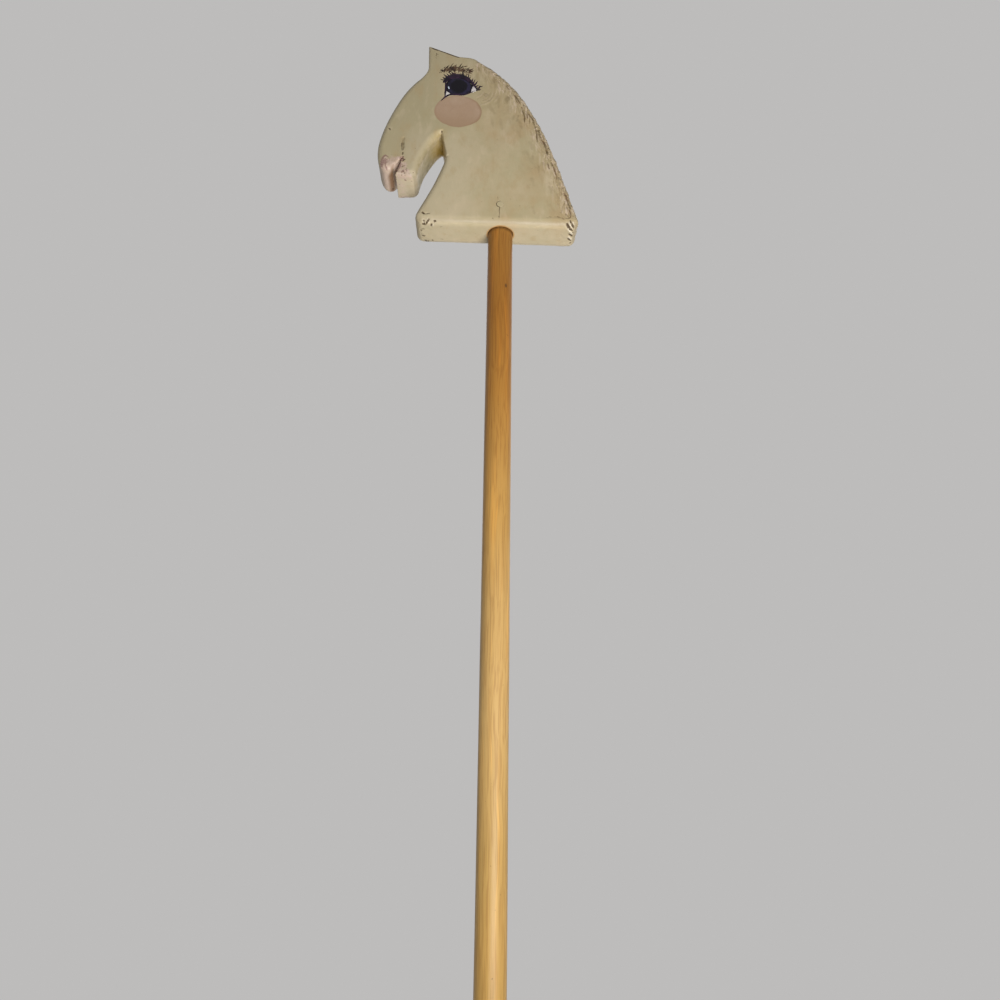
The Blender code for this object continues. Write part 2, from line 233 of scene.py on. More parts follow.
def build_cloudy_colour():
    """Colour = A, turned towards B by a wide noise and a fine one, each by its amount."""
    group, given, out = start_group(
        "cloudy_colour",
        [
            ("Place", "vector"),
            ("Colour A", "colour"),
            ("Colour B", "colour"),
            ("Wide Size", "value", 40.0),
            ("Fine Size", "value", 300.0),
            ("Fine Amount", "value", 0.3),
        ],
        [("Colour", "colour"), ("Share", "value")],
    )
    place = given.outputs["Place"]
    wide = step_between(cloud(place, given.outputs["Wide Size"]), 0.34, 0.66)
    fine = swing(place, given.outputs["Fine Size"], detail=4.0)
    share = times_plus(fine, given.outputs["Fine Amount"], wide)
    mixed = blend_colour(share, given.outputs["Colour A"], given.outputs["Colour B"])
    feed(out, Colour=mixed, Share=share)
    return group


def build_ingrained_dirt():
    """Dirt where a mask is strong, its edge broken by noise, and as rare small specks."""
    group, given, out = start_group(
        "ingrained_dirt",
        [
            ("Place", "vector"),
            ("Colour", "colour"),
            ("Dirt", "colour"),
            ("Mask", "value", 0.0),
            ("Speck Amount", "value", 0.5),
        ],
        [("Colour", "colour"), ("Dirt Share", "value")],
    )
    place, mask = given.outputs["Place"], given.outputs["Mask"]
    broken = swing(place, 900.0, detail=4.0, roughness=0.65)
    deep = step_between(times_plus(broken, 0.55, mask), 0.12, 0.75)
    deep = times(deep, step_between(mask, 0.0, 0.12))
    speck = step_between(cloud(place, 520.0, detail=1.0), 0.735, 0.80)
    where = step_between(cloud(place, 55.0, detail=1.0), 0.48, 0.62)
    speck = times(speck, where, given.outputs["Speck Amount"])
    share = largest(deep, speck)
    mixed = blend_colour(share, given.outputs["Colour"], given.outputs["Dirt"])
    feed(out, Colour=mixed, Dirt_Share=share)
    return group


def bent_place(place, size, detail, reach):
    """A place pushed about by noise, as far as reach on each axis."""
    push = add_node(place.id_data, "ShaderNodeTexNoise", Vector=place, Scale=size, Detail=detail)
    return vector_maths("MULTIPLY_ADD", push.outputs["Color"], reach, place)


def build_brush_marks():
    """Height of fine ridges that a brush leaves: noise drawn out along one axis and bent."""
    group, given, out = start_group(
        "brush_marks",
        [("Place", "vector"), ("Size", "value", 420.0), ("Lumps", "value", 0.4)],
        [("Height", "value")],
    )
    place = given.outputs["Place"]
    bent = bent_place(place, 28.0, 1.0, (0.03, 0.03, 0.03))
    ridges = cloud(bent, given.outputs["Size"], stretch=(1.0, 0.5, 0.16))
    lumps = cloud(place, 170.0, detail=2.0)
    feed(out, Height=times_plus(lumps, given.outputs["Lumps"], ridges))
    return group


cloudy_colour = build_cloudy_colour()
ingrained_dirt = build_ingrained_dirt()
brush_marks = build_brush_marks()


def clouded(place, first, second, wide, fine, amount):
    """The cloudy colour, with its two colours, its two sizes and its amount."""
    return use_group(
        place.id_data, cloudy_colour, Place=place, Colour_A=first, Colour_B=second,
        Wide_Size=wide, Fine_Size=fine, Fine_Amount=amount,
    )


def clouded_dirt(shader, place, base, dirt, mask, specks, rough):
    """Dirt over a cloudy colour, and a roughness that follows the clouds: a * share + b."""
    dirty = use_group(
        place.id_data, ingrained_dirt, Place=place, Colour=base.outputs["Colour"],
        Dirt=dirt, Mask=mask, Speck_Amount=specks,
    )
    rough = times_plus(base.outputs["Share"], *rough)
    feed(shader, Base_Color=dirty.outputs["Colour"], Roughness=rough)


print("node groups:", [group.name for group in bpy.data.node_groups])

# %% [markdown]
# ## Floor, background and light
# The toy stands on a plain pale floor. The floor is a wide disc whose colour fades, for what the camera or
# a mirror sees, into the same pale tone as the sky around it, so no horizon shows. Near the toy it stays a
# real surface that takes its shadow, only lifted a little for the camera. The light is soft: a pale sky, a
# wide lamp low in front and to the right, which together with a painted light in the head's paint is why
# the underside of the head is brighter than its face, and a weak one behind.

# %% Floor and sky
PALE = colour(0.51, 0.503, 0.498)
SKY_STRENGTH = 0.25
FLOOR_RADIUS = 7.0
FADE_START = 0.22
FADE_END = 0.62
FLOOR_LIFT = 0.6
SKY_COLOUR = colour(1.0, 0.985, 0.96)


def seen_ray(tree):
    """1 for the rays that look at the background: from the camera, a mirror or a glass."""
    path = add_node(tree, "ShaderNodeLightPath").outputs
    return largest(path["Is Camera Ray"], path["Is Glossy Ray"], path["Is Transmission Ray"])


def around_axis(radius, turn, level):
    """Points (r cos a, r sin a, z)."""
    x, y = radius * np.cos(turn), radius * np.sin(turn)
    return np.stack([x, y, level + 0.0 * x], axis=-1)


def floor_disc():
    """Rings of a disc: point = radius * (cos a, sin a, 0), the radius growing outwards."""
    rings = 24
    around = 64
    turn = np.linspace(0.0, 2 * np.pi, around, endpoint=False)
    radius = FLOOR_RADIUS * np.linspace(0.0, 1.0, rings + 1)[1:] ** 2
    rings_out = around_axis(radius[:, None], turn, 0.0)
    points = np.vstack([[[0.0, 0.0, 0.0]], rings_out.reshape(-1, 3)])
    step = np.arange(around)
    following = (step + 1) % around
    fan = [(0, 1 + a, 1 + b) for a, b in zip(step, following)]
    start = 1 + around * np.arange(rings - 1)[:, None]
    sides = np.stack(
        [start + step, start + around + step, start + around + following, start + following], axis=2
    )
    mesh = bpy.data.meshes.new("floor")
    mesh.from_pydata(points.tolist(), [], fan + sides.reshape(-1, 4).tolist())
    made = bpy.data.objects.new("floor", mesh)
    bpy.context.scene.collection.objects.link(made)
    return made


def mix_shaders(share, first, second):
    """The first node's shader where share is 0, and the second's where it is 1."""
    shaders = {"in1": first.outputs[0], "in2": second.outputs[0]}
    return add_node(share.id_data, "ShaderNodeMixShader", in0=share, **shaders)


def floor_finish():
    """Matt pale floor that turns into the background's own tone further out. For the camera
    it is lifted by a little light of its own, so that its shadow is faint."""
    made, shader, place = start_material("pale_floor", Roughness=0.9, Base_Color=PALE)
    tree = made.node_tree
    fade = step_between(vector_maths("LENGTH", place), FADE_START, FADE_END)
    fade = times(fade, seen_ray(tree))
    glow = add_node(tree, "ShaderNodeEmission", Color=PALE, Strength=1.0)
    lift = add_node(tree, "ShaderNodeEmission", Color=PALE, Strength=FLOOR_LIFT)
    lifted = add_node(tree, "ShaderNodeAddShader", in0=shader.outputs[0], in1=lift.outputs[0])
    camera = add_node(tree, "ShaderNodeLightPath").outputs["Is Camera Ray"]
    mixed = mix_shaders(fade, mix_shaders(camera, shader, lifted), glow)
    feed(tree.nodes["Material Output"], Surface=mixed.outputs[0])
    return made


def sky():
    """An even sky that lights the toy, and looks pale to the camera."""
    world = bpy.data.worlds.new("soft_sky")
    world.use_nodes = True
    tree = world.node_tree
    lit = feed(tree.nodes["Background"], Color=SKY_COLOUR, Strength=SKY_STRENGTH)
    shown = add_node(tree, "ShaderNodeBackground", Color=PALE, Strength=1.0)
    mixed = mix_shaders(seen_ray(tree), lit, shown)
    feed(tree.nodes["World Output"], Surface=mixed.outputs[0])
    bpy.context.scene.world = world


floor = floor_disc()
floor.data.materials.append(floor_finish())
sky()
print("floor faces:", len(floor.data.polygons))

# %% Lamps
LAMP_COLOUR = (1.0, 0.975, 0.94)


def add_lamp(name, place, aim, size, watts, spread):
    """A square soft lamp at a place, turned to shine at its aim, in a cone of spread."""
    data = bpy.data.lights.new(name, "AREA")
    data.size = size
    data.energy = watts
    data.spread = math.radians(spread)
    data.color = LAMP_COLOUR
    lamp = bpy.data.objects.new(name, data)
    lamp.location = place
    lamp.rotation_euler = (Vector(aim) - Vector(place)).to_track_quat("-Z", "Y").to_euler()
    lamp.visible_camera = False
    bpy.context.scene.collection.objects.link(lamp)


add_lamp("low_front_lamp", (0.2, -0.6, 0.1), (-0.01, 0.0, 0.93), size=0.5, watts=6.4, spread=120.0)
add_lamp("back_lamp", (0.15, 1.1, 1.3), (0.0, 0.0, 0.8), size=1.4, watts=6.0, spread=180.0)
print("lamps:", [lamp.name for lamp in bpy.data.lights])

# %% [markdown]
# ## Sizes and the noise that roughens things
# All shapes of the head are worked out in millimetres: x from the pole's axis, y from
# the middle of the plank, z from the head's flat base. A last step turns millimetres
# into metres. Nothing made by hand is quite even, so a smooth random field is used to
# wave its surfaces. It gives the same numbers in every run, as it is worked out from the
# place alone.

# %% Sizes and value noise
MM = 0.001
head_low, head_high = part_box("head")
pole_low, pole_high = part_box("pole")
BASE_HEIGHT = head_low.z
HALF_THICK = (head_high.y - head_low.y) / 2 / MM
POLE_RADIUS = (pole_high.x - pole_low.x) / 2 / MM
NEAR, FAR = -1.0, 1.0


def lattice_value(cells, seed):
    """A number between -1 and 1 for each whole-numbered cell, from mixing its numbers."""
    mixed = cells[:, 0] * 374761393 + cells[:, 1] * 668265263 + cells[:, 2] * 1274126177
    mixed = (mixed + seed * 974634777) & 0xFFFFFFFF
    mixed = ((mixed ^ (mixed >> 13)) * 1103515245) & 0xFFFFFFFF
    mixed = ((mixed ^ (mixed >> 16)) * 12820163) & 0xFFFFFFFF
    return (mixed ^ (mixed >> 15)) / 0xFFFFFFFF * 2.0 - 1.0


def soft_noise(points, size, seed=1):
    """Value noise: the eight lattice values around a point, blended by 3t^2 - 2t^3."""
    scaled = np.asarray(points, float) / size
    cell = np.floor(scaled).astype(np.int64)
    share = scaled - cell
    share = share * share * (3.0 - 2.0 * share)
    total = np.zeros(len(scaled))
    for corner in np.ndindex(2, 2, 2):
        weight = np.prod(np.where(corner, share, 1.0 - share), axis=1)
        total += weight * lattice_value(cell + np.array(corner), seed)
    return total


def smooth_step(value, low, high):
    """0 below low, 1 above high, and 3t^2 - 2t^3 between."""
    share = np.clip((value - low) / (high - low), 0.0, 1.0)
    return share * share * (3.0 - 2.0 * share)


print("plank", round(2 * HALF_THICK, 2), "mm thick, pole", round(2 * POLE_RADIUS, 2), "mm across")

# %% [markdown]
# ## The head's outline
# On the real toy a line was drawn on the plank and followed with a band saw. Here the
# same line is a chain of Bezier curves and rounded corners, with the anchors of the
# solids, but in steps of under a millimetre. Each run has its own edge round: a quarter
# inch along the board's long edges, less at the ear and the lips, almost none in the
# saw cut of the mouth.

# %% Outline anchors
STEP = 0.75
BOARD_ROUND = 6.35
EAR_ROUND = 3.0
LIP_ROUND = 4.5
KERF_ROUND = 1.0
THROAT_ROUND = 1.6
CHIN_ROUND = 3.0
ROUND_BLEND = 12.0
BASE_FRONT = (-85.0, 0.0)
BASE_BACK = (76.6, 0.0)
BASE_CORNER = 7.2
MANE_FOOT = (72.2, 16.0)
POLL = (-25.5, 199.6)
EAR_BACK = (-50.0, 204.9)
EAR_TIP = (-76.8, 215.9)
EAR_FOOT = (-76.0, 188.0)
FOREHEAD = (-84.8, 172.0)
NOSE = (-121.9, 82.0)
LIP = (-111.8, 58.3)
LIP_INNER = (-103.0, 65.0)
MOUTH_UPPER = (-99.0, 70.6)
MOUTH_END = (-97.2, 72.8)
MOUTH_LOWER = (-97.7, 69.6)
JAW_FRONT = (-102.8, 52.6)
CHIN = (-98.5, 52.38)
JAW_BACK = (-83.0, 51.6)
JAW_CORNER = 7.0
JAW_RISE = (-81.2, 62.0)
THROAT = (-59.8, 105.8)
NECK_BEND = (-54.7, 76.6)
NECK_FOOT = (-79.0, 15.0)


def directions(angle):
    """(cos a, sin a) of each angle."""
    return np.stack([np.cos(angle), np.sin(angle)], axis=1)


def bezier(start, pull_a, pull_b, end):
    """(1-t)^3 A + 3(1-t)^2 t B + 3(1-t) t^2 C + t^3 D, without its last point."""
    start, pull_a, pull_b, end = (np.array(point) for point in (start, pull_a, pull_b, end))
    reach = sum(np.linalg.norm(b - a) for a, b in ((start, pull_a), (pull_a, pull_b), (pull_b, end)))
    count = max(2, math.ceil(reach / STEP))
    share = (np.arange(count) / count)[:, None]
    rest = 1.0 - share
    return (
        rest**3 * start
        + 3 * rest**2 * share * pull_a
        + 3 * rest * share**2 * pull_b
        + share**3 * end
    )


def fillet(before, corner, after, radius):
    """An arc of a radius that touches both sides of a corner."""
    before, corner, after = (np.array(point) for point in (before, corner, after))
    side_a = (before - corner) / np.linalg.norm(before - corner)
    side_b = (after - corner) / np.linalg.norm(after - corner)
    half = math.acos(float(side_a @ side_b)) / 2
    centre = corner + (side_a + side_b) / np.linalg.norm(side_a + side_b) * radius / math.sin(half)
    start = corner + side_a * radius / math.tan(half) - centre
    end = corner + side_b * radius / math.tan(half) - centre
    first = math.atan2(start[1], start[0])
    sweep = (math.atan2(end[1], end[0]) - first + math.pi) % (2 * math.pi) - math.pi
    angle = first + sweep * np.linspace(0.0, 1.0, math.ceil(abs(sweep) * radius / STEP) + 1)
    return centre + radius * directions(angle)


mane_run = bezier(MANE_FOOT, (54.3, 73.3), (35.1, 166.2), POLL)
print("points along the mane:", len(mane_run))

# %% Closed outline with its edge rounds


def outline_runs():
    """The runs in order, from the base round by the mane, each with its edge round."""
    arc_room = 0.9
    return [
        (fillet(NECK_FOOT, BASE_FRONT, BASE_BACK, BASE_CORNER), BOARD_ROUND),
        (fillet(BASE_FRONT, BASE_BACK, MANE_FOOT, BASE_CORNER), BOARD_ROUND),
        (mane_run, BOARD_ROUND),
        (bezier(POLL, (-34.5, 204.6), (-42.0, 201.2), EAR_BACK), EAR_ROUND),
        (np.array([EAR_BACK, EAR_TIP]), EAR_ROUND),
        (bezier(EAR_FOOT, (-76.4, 181.2), (-79.5, 176.8), FOREHEAD), EAR_ROUND),
        (bezier(FOREHEAD, (-102.6, 159.3), (-122.4, 102.2), NOSE), BOARD_ROUND),
        (bezier(NOSE, (-121.7, 70.0), (-118.5, 58.5), LIP), BOARD_ROUND),
        (bezier(LIP, (-106.8, 58.0), (-105.5, 61.2), LIP_INNER), LIP_ROUND),
        (np.array([LIP_INNER, MOUTH_UPPER, MOUTH_END]), KERF_ROUND),
        (bezier(MOUTH_LOWER, (-99.5, 63.0), (-99.5, 63.0), JAW_FRONT), KERF_ROUND),
        (np.array([JAW_FRONT, CHIN]), CHIN_ROUND),
        (fillet(JAW_FRONT, JAW_BACK, JAW_RISE, JAW_CORNER), JAW_CORNER * arc_room),
        (bezier(JAW_RISE, (-78.5, 76.0), (-70.0, 93.5), THROAT), BOARD_ROUND),
        (bezier(THROAT, (-58.8, 99.0), (-55.4, 88.0), NECK_BEND), THROAT_ROUND),
        (bezier(NECK_BEND, (-65.0, 45.6), (-65.0, 45.6), NECK_FOOT), BOARD_ROUND),
        (np.array([NECK_FOOT]), BOARD_ROUND),
    ]


def closed_outline():
    """Points no further apart than STEP, the edge round blended along them, and the
    distance along the outline at each point."""
    runs = outline_runs()
    points = np.vstack([run for run, _ in runs])
    rounds = np.concatenate([np.full(len(run), radius) for run, radius in runs])
    ahead = np.roll(points, -1, axis=0)
    parts = np.maximum(1, np.ceil(np.linalg.norm(ahead - points, axis=1) / STEP)).astype(int)
    owner = np.repeat(np.arange(len(points)), parts)
    share = (np.arange(parts.sum()) - np.repeat(np.cumsum(parts) - parts, parts)) / parts[owner]
    points = points[owner] + (ahead - points)[owner] * share[:, None]
    rounds = rounds[owner] + (np.roll(rounds, -1) - rounds)[owner] * share
    side = np.linalg.norm(np.roll(points, -1, axis=0) - points, axis=1)
    along = np.concatenate([[0.0], np.cumsum(side)[:-1]])
    apart = np.abs(along[:, None] - along)
    apart = np.minimum(apart, side.sum() - apart)
    weight = np.clip(1.0 - apart / ROUND_BLEND, 0.0, None) * side
    blended = weight @ rounds / weight.sum(axis=1)
    most_above_own = 1.6
    return points, np.minimum(blended, rounds * most_above_own), along, side.sum()


outline, edge_round, outline_along, outline_length = closed_outline()


def outline_index(anchor):
    """The number of the outline's point nearest to an anchor."""
    return int(np.argmin(np.linalg.norm(outline - np.array(anchor), axis=1)))


mane_first, mane_last = outline_index(MANE_FOOT), outline_index(POLL)
MANE_START, MANE_END = outline_along[mane_first], outline_along[mane_last]
print(len(outline), "outline points,", round(outline_length), "mm round")

# %% [markdown]
# ## The plank's surface as a function
# A point of the face is known by its (x, z). Its depth depends only on how far it is
# from the outline: further in than the edge round it lies on the flat face, and nearer
# it drops away along a quarter circle. So one function of (x, z) gives the whole face,
# and the same function later seats the painted lines on it.

# %% Distance to the outline
BLOCK = 4000


def edge_distance(points):
    """For points of (x, z): the least distance to the outline's segments, and the edge
    round and the distance along the outline at the nearest place. Every eighth outline
    point is tried first, and then only the segments round the four nearest of those. The
    points are taken in blocks, to save memory."""
    count = len(outline)
    step = np.roll(outline, -1, axis=0) - outline
    length_squared = (step**2).sum(axis=1)
    ahead_round = np.roll(edge_round, -1)
    rough = outline[::8]
    distance = np.empty(len(points))
    rounds = np.empty(len(points))
    along = np.empty(len(points))
    for first in range(0, len(points), BLOCK):
        block = slice(first, first + BLOCK)
        here = points[block]
        gap = np.linalg.norm(here[:, None] - rough, axis=2)
        nearest = np.argpartition(gap, 4, axis=1)[:, :4]
        pick = (8 * nearest[:, :, None] + np.arange(-5, 6)).reshape(len(here), -1) % count
        offset = here[:, None] - outline[pick]
        share = np.clip((offset * step[pick]).sum(axis=2) / length_squared[pick], 0.0, 1.0)
        gap = np.linalg.norm(offset - share[:, :, None] * step[pick], axis=2)
        row = np.arange(len(here))
        best = gap.argmin(axis=1)
        segment, part = pick[row, best], share[row, best]
        distance[block] = gap[row, best]
        rounds[block] = edge_round[segment] * (1 - part) + ahead_round[segment] * part
        along[block] = outline_along[segment] + part * np.sqrt(length_squared[segment])
    return distance, rounds, along


def face_depth(distance, rounds):
    """Half the thickness, less r - sqrt(r^2 - (r - d)^2) where d is under the round r."""
    inside = np.clip(rounds - distance, 0.0, rounds)
    return HALF_THICK - (rounds - np.sqrt(np.maximum(rounds**2 - inside**2, 0.0)))


sample = np.array([[0.0, 100.0], [-80.0, 3.0], [-120.0, 82.0]])
print("depth at three places:", face_depth(*edge_distance(sample)[:2]).round(2))

# %% [markdown]
# ## Tool marks and paint lines
# Every carved hair, nick, crack and painted line is a path on the surface with a half
# width. A point is pushed in by the mark's depth times (1 - (d/w)^2)^2, where d is its
# distance to the path, and the rim beside it stands up a little, as a blunt gouge leaves
# it. The same distance says how much dirt the place holds. Marks of one kind are kept in
# one list, so that the shape and the colour come from the same paths.

# %% Mark helper


def mark_field(points, marks):
    """Outward push in mm, and ink between 0 and 1, at 3-D points, from a list of marks.
    Each mark is (path, half width, depth, ink) and a negative depth stands proud. A long
    mark is widest a quarter of the way along: 0.3 + 0.7 (4 s (1 - s))^0.5, s = t^0.5."""
    push = np.zeros(len(points))
    ink = np.zeros(len(points))
    for path, half_width, depth, strength in marks:
        path = np.asarray(path, float)
        reach = 2.0 * half_width
        inside = (points > path.min(axis=0) - reach) & (points < path.max(axis=0) + reach)
        pick = np.nonzero(np.all(inside, axis=1))[0]
        if len(pick) == 0:
            continue
        here = points[pick]
        gap = np.full(len(pick), reach)
        part = np.zeros(len(pick))
        pieces = len(path) - 1
        for number in range(pieces):
            step = path[number + 1] - path[number]
            share = np.clip((here - path[number]) @ step / max(step @ step, 1e-9), 0.0, 1.0)
            new_gap = np.linalg.norm(here - path[number] - share[:, None] * step, axis=1)
            part = np.where(new_gap < gap, (number + share) / pieces, part)
            gap = np.minimum(gap, new_gap)
        is_long = np.linalg.norm(path[-1] - path[0]) > 2.0
        skewed = np.sqrt(part)
        taper = 0.3 + 0.7 * (4.0 * skewed * (1.0 - skewed)) ** 0.5 if is_long else 1.0
        ratio = gap / (half_width * taper)
        hollow = np.clip(1.0 - ratio**2, 0.0, None) ** 2
        rim = 0.22 * np.exp(-(((ratio - 1.35) / 0.3) ** 2))
        if depth > 0:
            push[pick] = np.minimum(push[pick], -depth * hollow) + depth * rim
        else:
            push[pick] = np.maximum(push[pick], -depth * hollow)
        ink[pick] = np.maximum(ink[pick], strength * smooth_step(1.25 - ratio, 0.0, 0.9))
    return push, ink


def on_face(path, side=NEAR):
    """A path of (x, z) laid on a face, as (x, y, z)."""
    path = np.asarray(path, float)
    distance, rounds, _ = edge_distance(path)
    return np.stack([path[:, 0], side * face_depth(distance, rounds), path[:, 1]], axis=1)


def laid(marks, side=NEAR):
    """Marks with their paths of (x, z) laid on a face."""
    return [(on_face(path, side), *rest) for path, *rest in marks]


def dot(x, z):
    """A very short path, for a round mark."""
    return [(x, z), (x + 0.3, z - 0.2)]


print("a dot on the near face:", on_face(dot(58.8, 43.1)).round(1).tolist()[0])

# %% [markdown]
# ## Carved hair
# The mane is cut with a small gouge and then painted thickly: short strokes that hang from the back of the
# neck, steeper than the crest itself. The longest furrows are listed one by one along the neck. The finer
# ones, and the ridges of paint that stand up between them, come from a seeded generator: a place along the
# crest, a distance from it, a length and a lean. A layer of them is a number for its seed, then what
# hair_strokes takes: how many, the band, the lengths, the widths, and so on.

# %% Mane strokes
HAIR_STROKES = [
    ([(0.7, 167.5), (-1.1, 171.3)], 0.94, 0.35, 0.59),
    ([(12.0, 154.6), (13.9, 148.0)], 1.15, 0.6, 0.98),
    ([(15.4, 143.3), (16.9, 140.6)], 1.01, 0.4, 0.65),
    ([(19.0, 139.6), (20.6, 134.5), (21.8, 129.0), (22.5, 120.7)], 1.28, 0.8, 1.10),
    ([(26.9, 131.6), (30.0, 124.5), (32.4, 117.0)], 1.35, 0.8, 1.30),
    ([(32.4, 117.6), (34.0, 108.0), (34.7, 97.0)], 1.15, 0.8, 1.10),
    ([(36.0, 112.4), (37.5, 104.2), (40.6, 99.4)], 1.15, 0.6, 0.98),
    ([(40.8, 99.6), (42.9, 90.5), (44.8, 81.6)], 1.28, 0.7, 1.23),
    (dot(48.0, 75.5), 0.9, 0.6, 0.8),
    ([(44.6, 71.1), (46.3, 64.0)], 1.01, 0.5, 1.0),
    ([(51.0, 64.2), (52.8, 58.3)], 1.01, 0.6, 0.9),
    ([(54.5, 56.4), (55.4, 50.9), (57.3, 45.8)], 1.1, 0.7, 1.15),
    (dot(58.9, 41.9), 0.8, 0.6, 0.9),
    ([(60.7, 36.9), (62.6, 33.1), (63.8, 27.7)], 1.1, 0.8, 1.2),
    ([(63.6, 28.6), (65.8, 20.8), (65.2, 16.6), (66.6, 12.0)], 1.1, 0.8, 1.17),
    ([(66.8, 12.4), (66.5, 9.0), (63.8, 7.6), (60.6, 8.0)], 0.85, 0.5, 0.8),
    ([(61.2, 26.4), (59.4, 22.1), (58.2, 17.5), (56.9, 13.6)], 1.1, 0.4, 0.65),
    ([(61.5, 13.6), (61.8, 10.9)], 1.0, 0.4, 0.8),
    ([(42.8, 8.0), (44.8, 8.1)], 0.8, 0.25, 0.6),
    ([(46.2, 8.7), (48.6, 8.6)], 0.8, 0.25, 0.8),
    ([(50.2, 8.9), (52.2, 8.8)], 0.7, 0.25, 0.6),
    ([(53.0, 8.8), (57.2, 8.3)], 0.8, 0.25, 0.8),
    ([(58.2, 7.8), (59.8, 6.8)], 0.8, 0.3, 0.8),
    (dot(52.6, 3.1), 0.8, 0.3, 0.7),
    ([(-9.9, 178.2), (-8.0, 170.4), (-7.8, 160.1)], 1.28, 0.2, 0.36),
    ([(3.6, 154.8), (5.2, 148.0), (7.0, 139.1)], 1.62, 0.15, 0.29),
]
HAIR_DOWN = np.array([0.29, -0.957])
HALF_INK_INSET = 34.0
LOWEST_HAIR = 5.0


def points_at(wanted, length, path):
    """The points of a path of (x, z) at wanted lengths along it."""
    return np.stack([np.interp(wanted, length, path[:, axis]) for axis in (0, 1)], axis=1)


def crest_place(along, inset):
    """The place that lies inset mm inside the crest, along mm up from the mane's foot,
    and the crest's direction there, downwards."""
    run = outline[mane_first : mane_last + 1]
    length = outline_along[mane_first : mane_last + 1] - MANE_START
    place = points_at(along, length, run)
    direction = points_at(along + 1.0, length, run) - place
    direction /= np.linalg.norm(direction, axis=1, keepdims=True)
    inwards = np.stack([-direction[:, 1], direction[:, 0]], axis=1)
    return place + inwards * inset[:, None], -direction


def hair_strokes(seed, side, count, band, lengths, widths, follow, deepest, inks):
    """Bowed strokes: a seeded place in a band inside the crest, a length, and a heading
    between the hair's (follow 0) and the crest's (follow 1). A negative depth is a ridge."""
    draw = np.random.default_rng(seed)
    along = draw.uniform(0.0, MANE_END - MANE_START - 1.0, count)
    inset = band[0] + (band[1] - band[0]) * draw.random(count) ** 1.5
    start, crest_down = crest_place(along, inset)
    length = draw.uniform(*lengths, count)
    down = follow * crest_down + (1.0 - follow) * HAIR_DOWN
    across = np.stack([-down[:, 1], down[:, 0]], axis=1)
    down = down + across * draw.normal(0.0, 0.16, count)[:, None]
    bow = draw.normal(0.1, 0.4, count)
    half_width = draw.uniform(*widths, count)
    depth = deepest * draw.uniform(0.3, 1.0, count)
    ink = draw.uniform(*inks, count) * (1.0 - 0.5 * inset / HALF_INK_INSET)
    end = start + down * length[:, None]
    middle = (start + end) / 2 + across * bow[:, None]
    paths = np.stack([start, middle, end], axis=1)
    paths = paths[paths[:, 2, 1] > LOWEST_HAIR]
    return [(on_face(path, side), half_width[i], depth[i], ink[i]) for i, path in enumerate(paths)]


def resample(path, count, closed=False):
    """Points spaced evenly along a path of straight pieces; closed leaves the last one out."""
    length = np.concatenate([[0.0], np.cumsum(np.linalg.norm(np.diff(path, axis=0), axis=1))])
    return points_at(np.linspace(0.0, length[-1], count, endpoint=not closed), length, path)


CREST_GROOVE = [
    (12.0, 155.6), (19.2, 139.8), (26.9, 130.9), (33.4, 116.4), (38.2, 103.6), (42.6, 91.0),
    (44.5, 77.6), (48.6, 71.8), (53.0, 58.3), (57.6, 45.0), (61.4, 35.6), (64.4, 25.0),
    (65.6, 16.6), (66.9, 10.0),
]
GROOVE_POINTS = 72
ARC_CENTRE = (-27.5, 160.0)
ARC_RADII = (8.6, 11.0, 12.8, 15.4, 17.2, 20.4, 22.6)


def crest_groove(seed, side):
    """The long wavering groove just inside the crest, in short runs of uneven strength."""
    draw = np.random.default_rng(seed)
    line = resample(np.array(CREST_GROOVE), GROOVE_POINTS)
    line += draw.normal(0.0, 0.34, line.shape)
    return [
        (on_face(line[i : i + 5], side), draw.uniform(0.6, 0.95), 0.6, draw.uniform(0.5, 1.35))
        for i in range(0, GROOVE_POINTS - 2, 3)
    ]


def cheek_arcs(seed=3):
    """Ridges that the brush left as it turned behind the eye: arcs round about one centre."""
    draw = np.random.default_rng(seed)
    arcs = []
    for radius in ARC_RADII:
        first, last = draw.uniform(-78.0, -38.0), draw.uniform(-28.0, 14.0)
        turn = np.radians(np.linspace(first, last, 6))
        centre = ARC_CENTRE + draw.normal(0.0, 1.1, 2)
        arcs.append(centre + radius * directions(turn))
    return arcs


def waver(path, draw):
    """A path in six points, each moved a little to the side, as a gouge wanders."""
    return resample(np.array(path), 6) + draw.normal(0.0, 0.2, (6, 2))


FURROW_LAYERS = [
    (1, 170, (2.0, 9.0), (2.0, 6.5), (0.5, 0.9), 0.6, 0.5, (0.2, 1.0)),
    (2, 100, (6.0, 15.0), (3.0, 9.0), (0.6, 1.0), 0.3, 0.3, (0.15, 0.75)),
    (5, 90, (12.0, 42.0), (6.0, 17.0), (1.5, 2.8), 0.1, 0.12, (0.15, 0.5)),
]
RIDGE_LAYERS = [
    (3, 200, (0.3, 8.0), (2.0, 6.5), (0.5, 0.95), 0.6, -0.4, (0.5, 1.2)),
    (4, 150, (5.0, 16.0), (3.0, 9.0), (0.6, 1.1), 0.2, -0.25, (0.2, 0.9)),
]
ARC_SHADE = np.array([0.9, -0.9])
furrows, raised = [], []
for side, seed in ((NEAR, 11), (FAR, 29)):
    draw = np.random.default_rng(seed)
    furrows += laid([(waver(path, draw), *rest) for path, *rest in HAIR_STROKES], side)
    furrows += crest_groove(seed, side)
    for number, *layer in FURROW_LAYERS:
        furrows += hair_strokes(seed + number, side, *layer)
    for number, *layer in RIDGE_LAYERS:
        raised += hair_strokes(seed + number, side, *layer)
    raised += laid([(arc, 0.9, -0.25, 0.5) for arc in cheek_arcs()], side)
    furrows += laid([(arc + ARC_SHADE, 1.3, 0.1, 0.42) for arc in cheek_arcs()[:5]], side)
print(len(furrows), "furrows and", len(raised), "ridges on the two faces")
